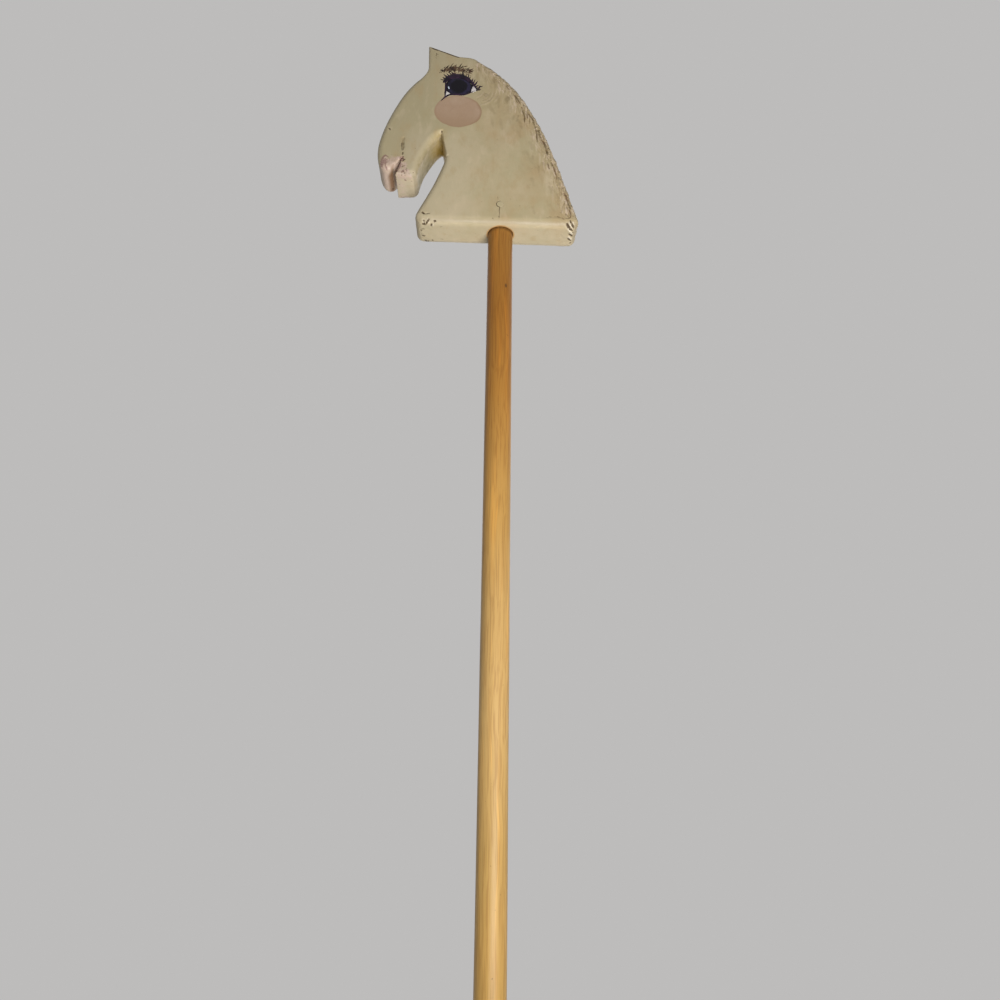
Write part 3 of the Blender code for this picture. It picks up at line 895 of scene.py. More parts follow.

# %% [markdown]
# ## Knocks, cracks and the mouth
# A toy that stood and fell on its base has its knocks at the base's two ends, on the rounded edge and on
# the underside. The wood split from the screw down to the hole for the pole. The corner of the mouth is a
# small pit, and a chip and a short dent lie above it. These are listed one by one, those of the underside
# with their depth y as well.

# %% Marks listed one by one
FACE_KNOCKS = [
    ([(-75.2, 9.6), (-72.7, 7.4)], 1.25, 1.0, 1.6),
    ([(-72.9, 7.5), (-66.9, 7.9)], 0.75, 0.4, 0.7),
    ([(-98.5, 90.0), (-98.4, 83.0), (-97.6, 80.8), (-96.4, 80.8), (-95.4, 82.6)], 0.6, 0.3, 0.6),
    ([(-96.5, 78.8), (-96.8, 75.0)], 0.9, 0.4, 0.6),
    ([(-110.9, 106.5), (-110.0, 104.8)], 0.95, 0.5, 0.95),
    (dot(-94.8, 55.9), 0.8, 0.5, 0.7),
    ([(-97.2, 60.9), (-93.6, 62.6)], 0.8, 0.4, 0.6),
    (dot(-8.2, 5.4), 0.7, 0.4, 0.8),
    ([(-68.6, 205.5), (-69.0, 200.0), (-68.3, 196.3)], 0.75, 0.3, 0.65),
    ([(-66.6, 204.0), (-66.9, 199.5)], 0.7, 0.2, 0.45),
]
FACE_SHADES = [
    ([(-96.6, 96.6), (-96.9, 93.0), (-97.2, 89.6)], 1.8, 0.6, 0.85),
    ([(-97.0, 91.6), (-96.9, 86.0), (-96.8, 81.4)], 2.0, 0.8, 0.95),
    ([(-96.8, 86.0), (-96.8, 81.6)], 1.9, 0.8, 0.95),
    ([(-96.5, 78.8), (-96.8, 74.6)], 1.3, 0.3, 0.7),
    ([(5.2, 152.6), (4.2, 143.6)], 3.6, 0.15, 0.55),
    ([(11.6, 130.0), (10.8, 123.0)], 2.4, 0.15, 0.5),
    ([(-8.9, 177.6), (-8.6, 169.0)], 2.0, 0.2, 0.55),
    ([(29.9, 107.6), (29.4, 100.6)], 1.3, 0.2, 0.6),
    ([(24.1, 133.4), (25.2, 125.0)], 1.3, 0.3, 0.8),
    ([(2.4, 163.8), (3.0, 158.6)], 1.3, 0.2, 0.55),
    ([(15.9, 129.6), (14.2, 121.0)], 1.5, 0.2, 0.55),
    ([(36.4, 68.2), (35.8, 59.6)], 1.5, 0.2, 0.5),
    ([(-21.6, 160.0), (-16.0, 154.0), (-11.2, 150.0)], 1.0, 0.15, 0.4),
    ([(-20.4, 154.6), (-14.8, 149.0), (-10.6, 146.4)], 1.0, 0.15, 0.4),
    ([(-19.6, 149.4), (-14.2, 144.0)], 1.0, 0.15, 0.35),
]
BASE_RIDGES = [
    ([(63.0, -14.2), (66.5, -8.8), (70.2, -5.9)], 1.0, -0.35, 1.3),
    ([(64.8, -17.2), (68.8, -12.8)], 0.9, -0.35, 1.2),
    ([(68.6, -17.6), (71.6, -13.6)], 0.9, -0.3, 1.1),
    ([(66.0, -1.4), (70.6, 4.2)], 1.0, -0.35, 1.3),
    ([(67.2, -6.6), (71.2, -2.2)], 0.9, -0.3, 1.2),
    ([(71.6, -12.6), (73.0, -5.0), (72.2, 6.3)], 1.5, -0.25, 1.0),
    ([(-73.6, -13.6), (-72.5, -14.7)], 1.1, -0.25, 1.0),
    ([(-67.9, -15.6), (-68.2, -13.9)], 1.0, -0.25, 0.9),
    ([(-64.3, -13.0), (-64.6, -11.2)], 1.0, -0.2, 0.8),
]
BASE_KNOCKS = [
    ([(62.8, -16.4), (65.8, -12.8), (69.2, -8.9)], 1.6, 1.0, 1.0),
    ([(65.8, -17.7), (68.4, -16.2)], 1.2, 0.6, 0.8),
    ([(68.0, -16.1), (70.9, -12.4)], 1.4, 0.7, 0.85),
    ([(66.4, -4.8), (71.3, 0.4)], 1.5, 0.8, 0.95),
    ([(66.0, 1.8), (69.6, 6.0)], 1.4, 0.6, 0.8),
    ([(69.3, -7.1), (71.7, -4.9)], 1.2, 0.5, 0.9),
    ([(68.6, 9.6), (70.8, 7.4)], 1.6, 0.5, 0.8),
    ([(-67.9, -16.9), (-69.2, -15.4), (-71.1, -13.2)], 1.1, 0.6, 1.05),
    ([(-70.6, -13.8), (-72.1, -11.9), (-74.6, -11.6)], 1.1, 0.5, 1.05),
    ([(-73.5, -15.7), (-72.9, -15.4)], 1.05, 0.4, 0.75),
    ([(-63.6, -14.5), (-62.6, -15.8), (-61.1, -15.0)], 1.1, 0.5, 1.0),
    ([(-65.4, -12.7), (-66.6, -10.3)], 1.15, 0.6, 1.1),
    ([(-58.1, -8.7), (-55.2, -9.7)], 1.0, 0.3, 0.6),
    ([(-77.0, -3.8), (-76.2, -2.1), (-74.4, -3.6)], 1.15, 0.4, 0.8),
    ([(-75.8, 4.4), (-74.1, 5.3), (-72.6, 4.5)], 1.2, 0.4, 0.75),
    ([(-73.2, 14.0), (-71.9, 13.1), (-70.6, 11.7)], 1.2, 0.7, 0.8),
]
CHIN_LEVEL = 52.2
CHIN_TICKS = [
    ([(-103.0, -12.7), (-101.2, -11.3)], 0.9, 0.3, 1.0),
    ([(-103.0, -9.8), (-101.6, -8.2)], 0.9, 0.3, 1.0),
    ([(-102.8, -7.0), (-101.8, -4.6)], 0.8, 0.3, 0.9),
    ([(-93.8, -9.9), (-93.2, -9.4)], 1.2, 0.4, 1.2),
    ([(-91.0, -13.3), (-89.2, -15.1)], 0.7, 0.3, 0.7),
    ([(-87.9, -9.0), (-87.4, -8.8)], 0.9, 0.3, 0.8),
]
LIP_LEVEL = 59.6
LIP_CHIPS = [
    ([(-110.8, 6.6), (-109.6, 8.2)], 1.0, 0.4, 1.1),
    ([(-108.4, 10.2), (-107.6, 13.2)], 1.4, 0.6, 1.1),
    ([(-110.0, 11.2), (-109.2, 12.8)], 1.0, 0.4, 0.9),
]
SPLIT = [
    ([(-1.4, 17.6), (-1.9, 13.6), (-1.5, 10.9), (-1.9, 7.7)], 0.45, 0.5, 0.75),
    ([(-1.9, 7.9), (-2.2, 4.6), (-1.7, 1.6)], 0.5, 0.6, 0.85),
    ([(-0.6, 25.2), (-2.9, 23.4), (-4.5, 21.2), (-2.6, 18.6), (-1.2, 17.4)], 0.55, 0.35, 0.8),
    ([(-3.5, 30.4), (-3.2, 25.9)], 0.45, 0.25, 0.55),
]
MOUTH_PIT = [((-96.5, 73.6), 0.8), ((-97.0, 71.4), 1.3), ((-95.4, 70.0), 1.4), ((-96.6, 68.4), 1.0)]


def laid_under(path, level=0.0, rounding=BOARD_ROUND, count=9):
    """A path of (x, y) laid on an underside and its edge round of radius r: with sine a
    the share of r that y lies beyond the flat part, z = level + r (1 - cos a)."""
    path = np.asarray(path, float)
    at = np.linspace(0.0, len(path) - 1.0, count)
    x, y = (np.interp(at, np.arange(len(path)), path[:, axis]) for axis in (0, 1))
    sine = np.clip((np.abs(y) - HALF_THICK + rounding) / rounding, 0.0, 1.0)
    return np.stack([x, y, level + rounding * (1.0 - np.sqrt(1.0 - sine**2))], axis=1)


def laid_below(marks, level=0.0):
    """Marks with their paths of (x, y) laid on an underside."""
    return [(laid_under(path, level), *rest) for path, *rest in marks]


def lip_chips(seed, side, count=34):
    """Small seeded chips in the paint of the lower lip and chin."""
    draw = np.random.default_rng(seed)
    x = draw.normal(-93.5, 4.2, count)
    z = draw.normal(56.5, 3.4, count)
    return [
        (on_face([(x[i], z[i]), (x[i] + draw.normal(0, 0.7), z[i] - draw.uniform(0.2, 1.3))], side),
         draw.uniform(0.4, 0.8), 0.3, draw.uniform(0.1, 0.6))
        for i in range(count)
        if x[i] > -101.0
    ]


def ear_top_line(side):
    """A dark line along the top of the ear and the dip behind it."""
    line = outline[outline_index(EAR_BACK) - 8 : outline_index(EAR_TIP) - 2 : 3] - np.array([0.0, 2.4])
    return laid([(line, 0.9, 0.3, 1.3), (line[-4:], 1.4, 0.3, 1.3)], side)


furrows += laid(FACE_SHADES)
knocks = laid(FACE_KNOCKS + SPLIT)
knocks += lip_chips(41, NEAR) + lip_chips(42, FAR) + ear_top_line(NEAR) + ear_top_line(FAR)
knocks += laid_below(BASE_KNOCKS)
raised += laid_below(BASE_RIDGES)
knocks += laid_below([
    ([(x, -y) for x, y in path], width, depth * 0.8, ink * 0.8)
    for path, width, depth, ink in BASE_KNOCKS[7:]
])
knocks += laid_below(LIP_CHIPS, LIP_LEVEL)
knocks += [
    ([(-59.9, -17.8, 105.8), (-59.7, -16.4, 105.6)], 1.25, 0.8, 1.2),
    # A shallow dark line along the throat's inner corner: painted shade in the crease.
    ([(-59.8, -8.0, 105.9), (-59.7, 0.0, 105.9), (-59.8, 11.0, 105.9)], 0.65, 0.3, 0.8),
]
for side in (NEAR, FAR):
    knocks += laid([(dot(*place), 1.1 * size, 1.6, 0.5) for place, size in MOUTH_PIT], side)
print(len(knocks), "knocks, cracks and pits")

# %% [markdown]
# ## Relief of the whole surface
# On top of the single marks the surface waves a little from sanding by hand, the paint
# lies in soft ridges where the brush turned behind the cheek, and the crest is ragged
# where one gouge cut after another ran out over the edge. Each is a noise field with its
# own grain, kept to its own place by a mask.

# %% Relief function
CURL_CENTRE = np.array([-14.0, 152.0])
HAIR_GRAIN = 1.05
SIDE_APART = 40.0


def mane_mask(distance, along, reach):
    """1 on the crest, falling off inwards as exp(-(d/reach)^2), and 0 off the mane."""
    in_mane = smooth_step(along, MANE_START - 8, MANE_START + 2)
    in_mane *= 1.0 - smooth_step(along, MANE_END - 6, MANE_END + 6)
    return in_mane * np.exp(-((distance / reach) ** 2))


def hair_ridges(points, seed):
    """Noise drawn out along the hair: long steps down the neck, short ones across it."""
    flat = points[:, [0, 2]]
    down = flat @ HAIR_DOWN
    across = flat @ np.array([-HAIR_DOWN[1], HAIR_DOWN[0]])
    across = across + 1.6 * soft_noise(points, 14.0, seed + 1)
    side = np.sign(points[:, 1]) * SIDE_APART
    grain = np.stack([down / (8.0 * HAIR_GRAIN), across / HAIR_GRAIN, side], axis=1)
    return soft_noise(grain, 1.0, seed)


def surface_relief(points, distance, along):
    """Outward push in mm: sanding waves + hair ridges by the crest + brush curls +
    the ragged crest and corners + the marks."""
    x, z = points[:, 0], points[:, 2]
    push = 0.18 * soft_noise(points, 26.0, 3) + 0.07 * soft_noise(points, 9.0, 4)
    push += 0.03 * soft_noise(points, 2.6, 5)
    side = np.sign(points[:, 1]) * SIDE_APART
    push += 0.26 * mane_mask(distance, along, 12.0) * hair_ridges(points, 7)
    push += 0.14 * mane_mask(distance, along, 30.0) * hair_ridges(points / 2.6, 17)
    ragged = 0.35 + 0.65 * smooth_step(np.abs(points[:, 1]), 9.0, 14.0)
    ragged = ragged * mane_mask(distance, along, 5.0)
    push += ragged * (0.38 * soft_noise(points, 4.2, 8) + 0.42 * soft_noise(points, 2.0, 9) - 0.2)
    low_corner = 1.0 - smooth_step(z, 7.0, 15.0)
    low_corner *= smooth_step(x, 50.0, 62.0) + 1.0 - smooth_step(x, -72.0, -56.0)
    push += low_corner * (0.26 * soft_noise(points, 3.4, 10) + 0.12 * soft_noise(points, 1.7, 14))
    from_curl = np.stack([x, z], axis=1) - CURL_CENTRE
    reach = np.linalg.norm(from_curl, axis=1)
    swirl = np.arctan2(from_curl[:, 1], from_curl[:, 0])
    curls = np.stack([reach / 2.6, swirl * 2.2, side], axis=1)
    push += 0.13 * np.exp(-((reach / 24.0) ** 2)) * soft_noise(curls, 1.0, 11)
    cut_push, stain = mark_field(points, knocks)
    furrow_push, shade = mark_field(points, furrows)
    ridge_push, light = mark_field(points, raised)
    return push + cut_push + furrow_push + ridge_push, stain, shade, light


sample_push = surface_relief(on_face(sample), *edge_distance(sample)[::2])[0]
print("relief at three places:", sample_push.round(3))

# %% [markdown]
# ## The net of the head
# The face needs small triangles where it is carved and larger ones where it is calm, and
# its rows have to follow the rounded edge. So the (x, z) points are of two kinds: rows
# that run along the outline over the edge round, and a staggered lattice inside, fine by
# the mane, the muzzle, the ear and the base's ends. Blender's own triangulator joins
# them into one net that ends exactly on the outline. The same net, turned over, is the
# back, and rows of four-sided faces close the plank's edge between the two.

# %% Points of the net
ROUND_ROWS = 7
WALL_ROWS = 21
COARSE = 1.6
FINE = 0.72
FINEST = 0.5
MIDDLING = 1.0


def inward_steps():
    """At each outline point, the unit step to the inside, across the mean direction."""
    side = np.roll(outline, -1, axis=0) - np.roll(outline, 1, axis=0)
    side /= np.linalg.norm(side, axis=1, keepdims=True)
    return np.stack([-side[:, 1], side[:, 0]], axis=1)


def edge_rows():
    """Rows at r (1 - sin a) inside the outline, kept where nothing else is nearer."""
    steps = inward_steps()
    rows = []
    for angle in np.linspace(math.pi / 2, 0.0, ROUND_ROWS + 1)[1:]:
        offset = edge_round * (1.0 - math.sin(angle))
        row = outline + steps * offset[:, None]
        distance, _, _ = edge_distance(row)
        rows.append(row[(distance > offset - 0.05) & (distance > 0.12)])
    return np.vstack(rows)


def lattice(spacing):
    """Rows of points spacing apart, every second row moved by half. On each row only the
    points between an odd and an even crossing of the outline are kept."""
    ahead = np.roll(outline, -1, axis=0)
    low, high = outline.min(axis=0), outline.max(axis=0)
    kept = []
    for number, z in enumerate(np.arange(low[1], high[1], spacing * math.sqrt(0.75)) + 0.01):
        x = np.arange(low[0], high[0], spacing) + (number % 2) * spacing / 2
        spans = (outline[:, 1] > z) != (ahead[:, 1] > z)
        start, end = outline[spans], ahead[spans]
        cross = start[:, 0] + (z - start[:, 1]) / (end[:, 1] - start[:, 1]) * (end[:, 0] - start[:, 0])
        inside = np.searchsorted(np.sort(cross), x) % 2 == 1
        kept.append(np.stack([x[inside], np.full(inside.sum(), z)], axis=1))
    return np.vstack(kept)


def wanted_spacing(points, distance, along):
    """FINE by the mane, muzzle, ear, throat and base ends, MIDDLING by the curls behind the
    eye, FINEST by the split, and COARSE elsewhere."""
    x, z = points[:, 0], points[:, 1]
    mane = (along > MANE_START - 8) & (along < MANE_END) & (distance < 17.0)
    muzzle = (x < -86.0) & (z < 97.0)
    ends = (z < 13.0) & ((x > 38.0) | (x < -52.0))
    throat = np.hypot(x + 60.0, z - 106.0) < 5.0
    ear = (z > 188.0) & (x < -45.0) & (distance < 7.0)
    curls = np.linalg.norm(points - CURL_CENTRE, axis=1) < 22.0
    spacing = np.where(mane | muzzle | ends | throat | ear, FINE, COARSE)
    spacing = np.where(curls & ~mane, MIDDLING, spacing)
    split = (np.abs(x + 1.8) < 6.5) & (z < 31.0)
    return np.where(split, FINEST, spacing)


def face_points():
    """The outline, the rows over its edge round, and the lattices inside them."""
    parts = [outline, edge_rows()]
    for spacing in (FINEST, FINE, MIDDLING, COARSE):
        grid = lattice(spacing)
        distance, rounds, along = edge_distance(grid)
        keep = distance > rounds + 0.4 * spacing
        keep &= np.isclose(wanted_spacing(grid, distance, along), spacing)
        parts.append(grid[keep])
    points = np.vstack(parts)
    cell = np.round(points / 0.33).astype(int)
    _, first = np.unique(cell, axis=0, return_index=True)
    first = np.union1d(first, np.arange(len(outline)))
    return points[np.sort(first)]


net = face_points()
print(len(net), "points in the net of one face")

# %% Triangles of the net


def triangulate(points):
    """Triangles between the points that fill the outline, as rows of three indices."""
    border = list(range(len(outline)))
    result = delaunay_2d_cdt([Vector(point) for point in points], [], [border], 1, 1e-6)
    source = np.array([origin[0] for origin in result[3]])
    return source[np.array(result[2])]


triangles = triangulate(net)
print(len(triangles), "triangles in one face")


def plank_arrays():
    """Points of near face, far face and the rows between, with their distance to the
    outline and their place along it, and the faces as lists."""
    distance, rounds, along = edge_distance(net)
    distance[: len(outline)] = 0.0
    rounds[: len(outline)] = edge_round
    along[: len(outline)] = outline_along
    depth = face_depth(distance, rounds)
    near = np.stack([net[:, 0], -depth, net[:, 1]], axis=1)
    far = near * np.array([1.0, -1.0, 1.0])
    share = np.linspace(-1.0, 1.0, WALL_ROWS + 1)[1:-1]
    wall = np.stack(
        [
            np.tile(outline[:, 0], len(share)),
            np.outer(share, HALF_THICK - edge_round).ravel(),
            np.tile(outline[:, 1], len(share)),
        ],
        axis=1,
    )
    around = np.arange(len(outline))
    rows = [around]
    rows += [2 * len(net) + row * len(outline) + around for row in range(len(share))]
    rows += [len(net) + around]
    rows = np.array(rows)
    following = np.roll(rows, -1, axis=1)
    quads = np.stack([rows[:-1], rows[1:], following[1:], following[:-1]], axis=2)
    faces = triangles.tolist() + (triangles[:, ::-1] + len(net)).tolist()
    faces += quads.reshape(-1, 4).tolist()
    points = np.vstack([near, far, wall])
    wall_zero = np.zeros(len(wall))
    distance = np.concatenate([distance, distance, wall_zero])
    along = np.concatenate([along, along, np.tile(outline_along, len(share))])
    return points, faces, distance, along


plank_points, plank_faces, plank_distance, plank_along = plank_arrays()
print(len(plank_points), "points,", len(plank_faces), "faces in the plank")

# %% [markdown]
# ## From arrays to a mesh
# A piece's object stays at the origin, and its place is in its mesh. These helpers turn
# head millimetres into metres above the pole's foot, and make the mesh and its object.

# %% Mesh helper


def to_metres(points):
    """Head millimetres to the frame's metres: times MM, and up by the base's height."""
    return np.asarray(points) * MM + np.array([0.0, 0.0, BASE_HEIGHT])


def head_spot(centre):
    """A place (x, z) of the head's faces as a point of the frame, for the materials."""
    return (centre[0] * MM, 0.0, centre[1] * MM + BASE_HEIGHT)


def make_piece(name, points, faces, finish=None):
    """A smooth-shaded mesh object from points in metres and faces."""
    mesh = bpy.data.meshes.new(name)
    mesh.from_pydata(np.asarray(points).tolist(), [], faces)
    mesh.shade_smooth()
    if finish is not None:
        mesh.materials.append(finish)
    made = bpy.data.objects.new(name, mesh)
    bpy.context.scene.collection.objects.link(made)
    return made


def point_normals(made):
    """The mesh's own outward direction at each point."""
    normals = np.zeros(len(made.data.vertices) * 3, np.float32)
    made.data.vertex_normals.foreach_get("vector", normals)
    return normals.reshape(-1, 3)


head = make_piece("painted_head", to_metres(plank_points), plank_faces)
print("head made,", len(head.data.polygons), "faces")

# %% [markdown]
# ## Colour masks on the head
# Where the paint changes softly, the colour follows values kept at the points: dirt in the carved marks,
# the pink wash on the muzzle and lips, the mauve of the nostril and of the mouth's line, a painted shade
# and a painted light on the inner lip, a painted shade with gold bounce light in the throat, the pale
# ridges that are partly a painted highlight, and the rim of the edges. They are worked out before the
# surface is pushed, from the same paths, and kept as attributes, which the material reads by name.

# %% Masks
MUZZLE_WASH = [
    ([(-116.0, 66.0), (-108.0, 64.0), (-101.5, 68.0)], 8.0, 0.0, 0.95),
    ([(-117.0, 66.0), (-113.0, 60.5), (-107.0, 61.5)], 8.0, 0.0, 0.95),
    ([(-108.2, 66.4), (-103.4, 69.0), (-99.6, 71.4)], 6.0, 0.0, 1.0),
    ([(-100.4, 71.4), (-104.0, 66.0)], 5.0, 0.0, 0.95),
    ([(-98.0, 65.0), (-94.0, 58.0)], 6.0, 0.0, 0.85),
    ([(-100.0, 56.0), (-90.0, 54.0)], 7.0, 0.0, 0.9),
]
NOSTRIL_LINES = [
    ([(-117.3, 62.8), (-117.0, 67.5), (-115.7, 70.9), (-113.3, 73.6), (-110.4, 72.0)], 1.2, 0.15, 1.15),
    ([(-110.6, 72.2), (-109.0, 69.2), (-109.2, 66.4)], 0.9, 0.1, 0.5),
    ([(-115.8, 61.6), (-115.5, 65.5), (-114.2, 68.6), (-112.4, 70.0)], 1.1, 0.1, 0.9),
    ([(-111.4, 68.0), (-112.6, 64.0)], 4.4, 0.0, 0.3),
    ([(-111.0, 69.0), (-113.2, 67.2), (-114.4, 63.8)], 1.0, 0.0, 0.8),
    ([(-111.9, 66.2), (-112.9, 63.6), (-111.8, 59.8)], 1.0, 0.0, 0.9),
    ([(-110.2, 67.6), (-110.8, 64.6)], 0.9, 0.0, 0.6),
]
MOUTH_LINES = [
    ([(-96.4, 73.6), (-97.5, 71.2), (-98.4, 67.4)], 1.4, 0.0, 0.9),
    ([(-95.2, 70.6), (-97.0, 67.6)], 2.2, 0.0, 1.0),
    ([(-98.3, 68.6), (-98.9, 61.0), (-101.0, 54.6)], 1.3, 0.0, 1.1),
    ([(-97.2, 64.0), (-97.0, 58.6)], 2.6, 0.0, 0.45),
    ([(-94.5, 56.7), (-96.0, 55.3), (-97.5, 53.9)], 0.95, 0.3, 1.25),
    ([(-93.3, 57.6), (-92.1, 57.4), (-91.8, 55.5)], 0.65, 0.2, 0.7),
    ([(-97.6, 72.6), (-96.6, 70.6), (-94.8, 69.8)], 2.3, 0.0, 1.15),
    ([(-96.4, 70.4), (-96.6, 67.0)], 1.6, 0.0, 1.1),
    ([(-103.8, 74.6), (-103.4, 73.8)], 0.8, 0.0, 0.5),
    ([(-101.6, 74.6), (-101.2, 73.6)], 0.8, 0.0, 0.5),
    ([(-101.5, 79.6), (-100.4, 78.6)], 0.7, 0.0, 0.4),
    ([(-84.8, 83.4), (-84.9, 80.4)], 0.7, 0.0, 0.4),
]


LIP_WASH = [([(-113.0, -15.0), (-112.0, 15.0)], 12.0, 0.0, 0.8)]
CHIN_WASH = [
    ([(-101.0, -15.5), (-94.0, -14.5), (-87.0, -13.0)], 6.5, 0.0, 0.95),
    ([(-99.0, -10.0), (-99.0, 15.0)], 7.0, 0.0, 0.35),
]
wash_marks = laid(MUZZLE_WASH, NEAR) + laid(MUZZLE_WASH, FAR)
wash_marks += laid_below(LIP_WASH, LIP_LEVEL) + laid_below(CHIN_WASH, CHIN_LEVEL)
MAUVE_LINES = NOSTRIL_LINES + MOUTH_LINES
mauve_marks = laid(MAUVE_LINES, NEAR) + laid(MAUVE_LINES, FAR)
chin_specks = lip_chips(43, NEAR) + lip_chips(44, FAR)
mauve_marks += [(path, width, depth, 0.35) for path, width, depth, _ in chin_specks]
mauve_marks += laid_below(CHIN_TICKS, CHIN_LEVEL)
mauve_marks += [([(-111.9, -17.4, 60.6), (-111.2, -14.6, 59.0)], 1.2, 0.0, 1.0)]


def along_at(anchor):
    """The distance along the outline at the outline's point nearest to an anchor."""
    return outline_along[outline_index(anchor)]


def kerf_masks(distance, along, y):
    """A dark line along the saw cut, a painted shade at the lip's corner and a painted light on the inner
    lip.
    """
    inner, upper, front = along_at(LIP_INNER), along_at(MOUTH_UPPER), along_at(JAW_FRONT)
    in_kerf = smooth_step(along, upper - 1.5, upper + 0.5)
    in_kerf *= 1.0 - smooth_step(along, front - 1.5, front + 0.5)
    brown = smooth_step(along - 4.5 * smooth_step(-y, 6.0, 16.0), inner - 13.0, inner - 8.5)
    paler = 0.6 * smooth_step(along, inner - 6.5, inner - 4.5)
    paler += 0.4 * smooth_step(along, inner - 4.0, inner - 0.5)
    pale = 0.9 * smooth_step(along, inner - 5.0, inner - 2.0)
    pale *= 1.0 - smooth_step(along, upper - 3.0, upper - 1.0)
    pale *= 1.0 - smooth_step(np.abs(y), 13.0, 16.5)
    fall = np.exp(-((distance / 2.2) ** 2))
    return in_kerf * np.exp(-((distance / 0.9) ** 2)), brown * (1.0 - paler) * fall, pale * fall**3


THROAT_SHIFT = 24.0
THROAT_REACH = 38.0
head_push, stain, shade, pale_ridge_highlight = surface_relief(plank_points, plank_distance, plank_along)
uneven = 0.72 + 0.45 * soft_noise(plank_points, 2.4, 31) + 0.25 * soft_noise(plank_points, 6.0, 32)
stain = np.clip(stain * np.clip(uneven + 0.3 * stain, 0.3, 1.0), 0.0, 1.0)
shade = np.clip(shade * np.clip(uneven, 0.15, 1.0), 0.0, 1.0)
blush = mark_field(plank_points, wash_marks)[1]
mauve = mark_field(plank_points, mauve_marks)[1]
# The inner lip gets a painted shade under its rounding and a painted light inside the cut.
kerf, lip_painted_shade, lip_painted_light = kerf_masks(plank_distance, plank_along, plank_points[:, 1])
mauve = np.maximum(mauve, kerf)
rim = np.exp(-((plank_distance / 2.2) ** 2)) * np.where(np.abs(plank_points[:, 1]) > 8.0, 1.0, 0.5)
on_wall = 1.0 - smooth_step(np.abs(plank_points[:, 1]), 9.0, 14.0)
crest = rim * mane_mask(plank_distance, plank_along, 6.0) * (1.0 - 0.8 * on_wall)
band = mane_mask(plank_distance, plank_along, 17.0) * (1.0 - 0.7 * on_wall)
# A pale rim along the crest, partly a painted highlight on its rounded edge.
crest_highlight_rim = mane_mask(plank_distance, plank_along, 1.7) * (1.0 - on_wall)
pale_ridge_highlight = np.maximum(pale_ridge_highlight, crest_highlight_rim * (0.75 + 0.5 * soft_noise(plank_points, 3.0, 33)))
# Painted shade in the throat and under the jaw: along its underside, darker towards the far face, and none
# at the chin.
from_throat = np.abs(plank_along - along_at(THROAT) + THROAT_SHIFT)
throat = np.exp(-((from_throat / THROAT_REACH) ** 6)) * np.exp(-((plank_distance / 3.5) ** 2))
throat *= 0.35 + 0.65 * smooth_step(plank_points[:, 1], -13.0, 7.0)
throat *= smooth_step(plank_points[:, 2], 52.8, 58.0)
masks = {
    "stain": stain,
    "shade": shade,
    "pale_ridge_highlight": pale_ridge_highlight,
    "blush": blush,
    "mauve": mauve,
    "lip_painted_shade": lip_painted_shade,
    "lip_painted_light": lip_painted_light,
    "edge_rim": rim,
    "crest_rim": crest,
    "mane_band": band,
    "throat_tint": throat,
}
for label, values in masks.items():
    layer = head.data.attributes.new(label, "FLOAT", "POINT")
    layer.data.foreach_set("value", values.astype(np.float32))
pushed = to_metres(plank_points) + point_normals(head) * (head_push * MM)[:, None]
head.data.vertices.foreach_set("co", pushed.ravel().astype(np.float32))
head.data.update()
print("relief from", head_push.min().round(2), "to", head_push.max().round(2), "mm")

# %% [markdown]
# ## Bore and screw hole
# The pole stands in a blind hole, bored from below, whose mouth was eased with a turn of
# sandpaper. A smaller stepped hole was drilled for the screw. A hole is the one thing
# that is easier taken away than drawn, so both are turned shapes that a Boolean
# modifier takes out of the plank, and the result is applied at once.

# %% Holes
FIT_GAP = 0.3
BORE_DEPTH = 76.2
MOUTH_EASE = 0.5
SCREW_PLACE = (-1.2, 21.4)
PLUG_THICK = 1.4
SCREW_STEPS = [(3.4, -1.0), (3.4, 0.3), (1.7, 2.8), (1.7, 25.4)]


def turned_arrays(profile, around=64):
    """Rings of points radius * (cos a, sin a) at each height, and faces that close both
    ends with a fan round a middle point."""
    radius, height = np.array(profile, float).T
    turn = np.linspace(0.0, 2 * np.pi, around, endpoint=False)
    rings = around_axis(radius[:, None], turn, height[:, None])
    ends = np.array([[0.0, 0.0, height[0]], [0.0, 0.0, height[-1]]])
    return np.vstack([rings.reshape(-1, 3), ends]), ring_faces(len(profile), around)


def ring_faces(rings, around):
    """Four-sided faces between rings, and a fan at each end. The ends' middle points come
    after the rings, first end first."""
    step = np.arange(around)
    following = (step + 1) % around
    start = around * np.arange(rings - 1)[:, None]
    sides = np.stack(
        [start + step, start + following, start + around + following, start + around + step], axis=2
    )
    low, high = rings * around, rings * around + 1
    last = (rings - 1) * around
    fans = [(low, b, a) for a, b in zip(step, following)]
    fans += [(high, last + a, last + b) for a, b in zip(step, following)]
    return sides.reshape(-1, 4).tolist() + [tuple(int(v) for v in fan) for fan in fans]


def cut_out(target, points, faces):
    """Takes a closed shape out of a piece with a Boolean, and applies it."""
    tool = make_piece("cutter", points, faces)
    cut = target.modifiers.new("cut", "BOOLEAN")
    cut.operation = "DIFFERENCE"
    cut.solver = "EXACT"
    cut.object = tool
    bpy.context.view_layer.update()
    result = bpy.data.meshes.new_from_object(target.evaluated_get(bpy.context.evaluated_depsgraph_get()))
    target.modifiers.clear()
    old = target.data
    target.data = result
    result.name = old.name
    bpy.data.meshes.remove(old)
    bpy.data.objects.remove(tool, do_unlink=True)


def bore_shape():
    """The bore's radius against height, its mouth eased by e: b + e (1 - sin a) at e a / 90."""
    bore = POLE_RADIUS + FIT_GAP
    angle = np.linspace(0.0, math.pi / 2, 6)
    height = angle / (math.pi / 2) * MOUTH_EASE
    ease = np.stack([bore + MOUTH_EASE * (1 - np.sin(angle)), height], axis=1)
    return [(bore + MOUTH_EASE + 1.5, -2.0)] + ease.tolist() + [(bore, BORE_DEPTH)]


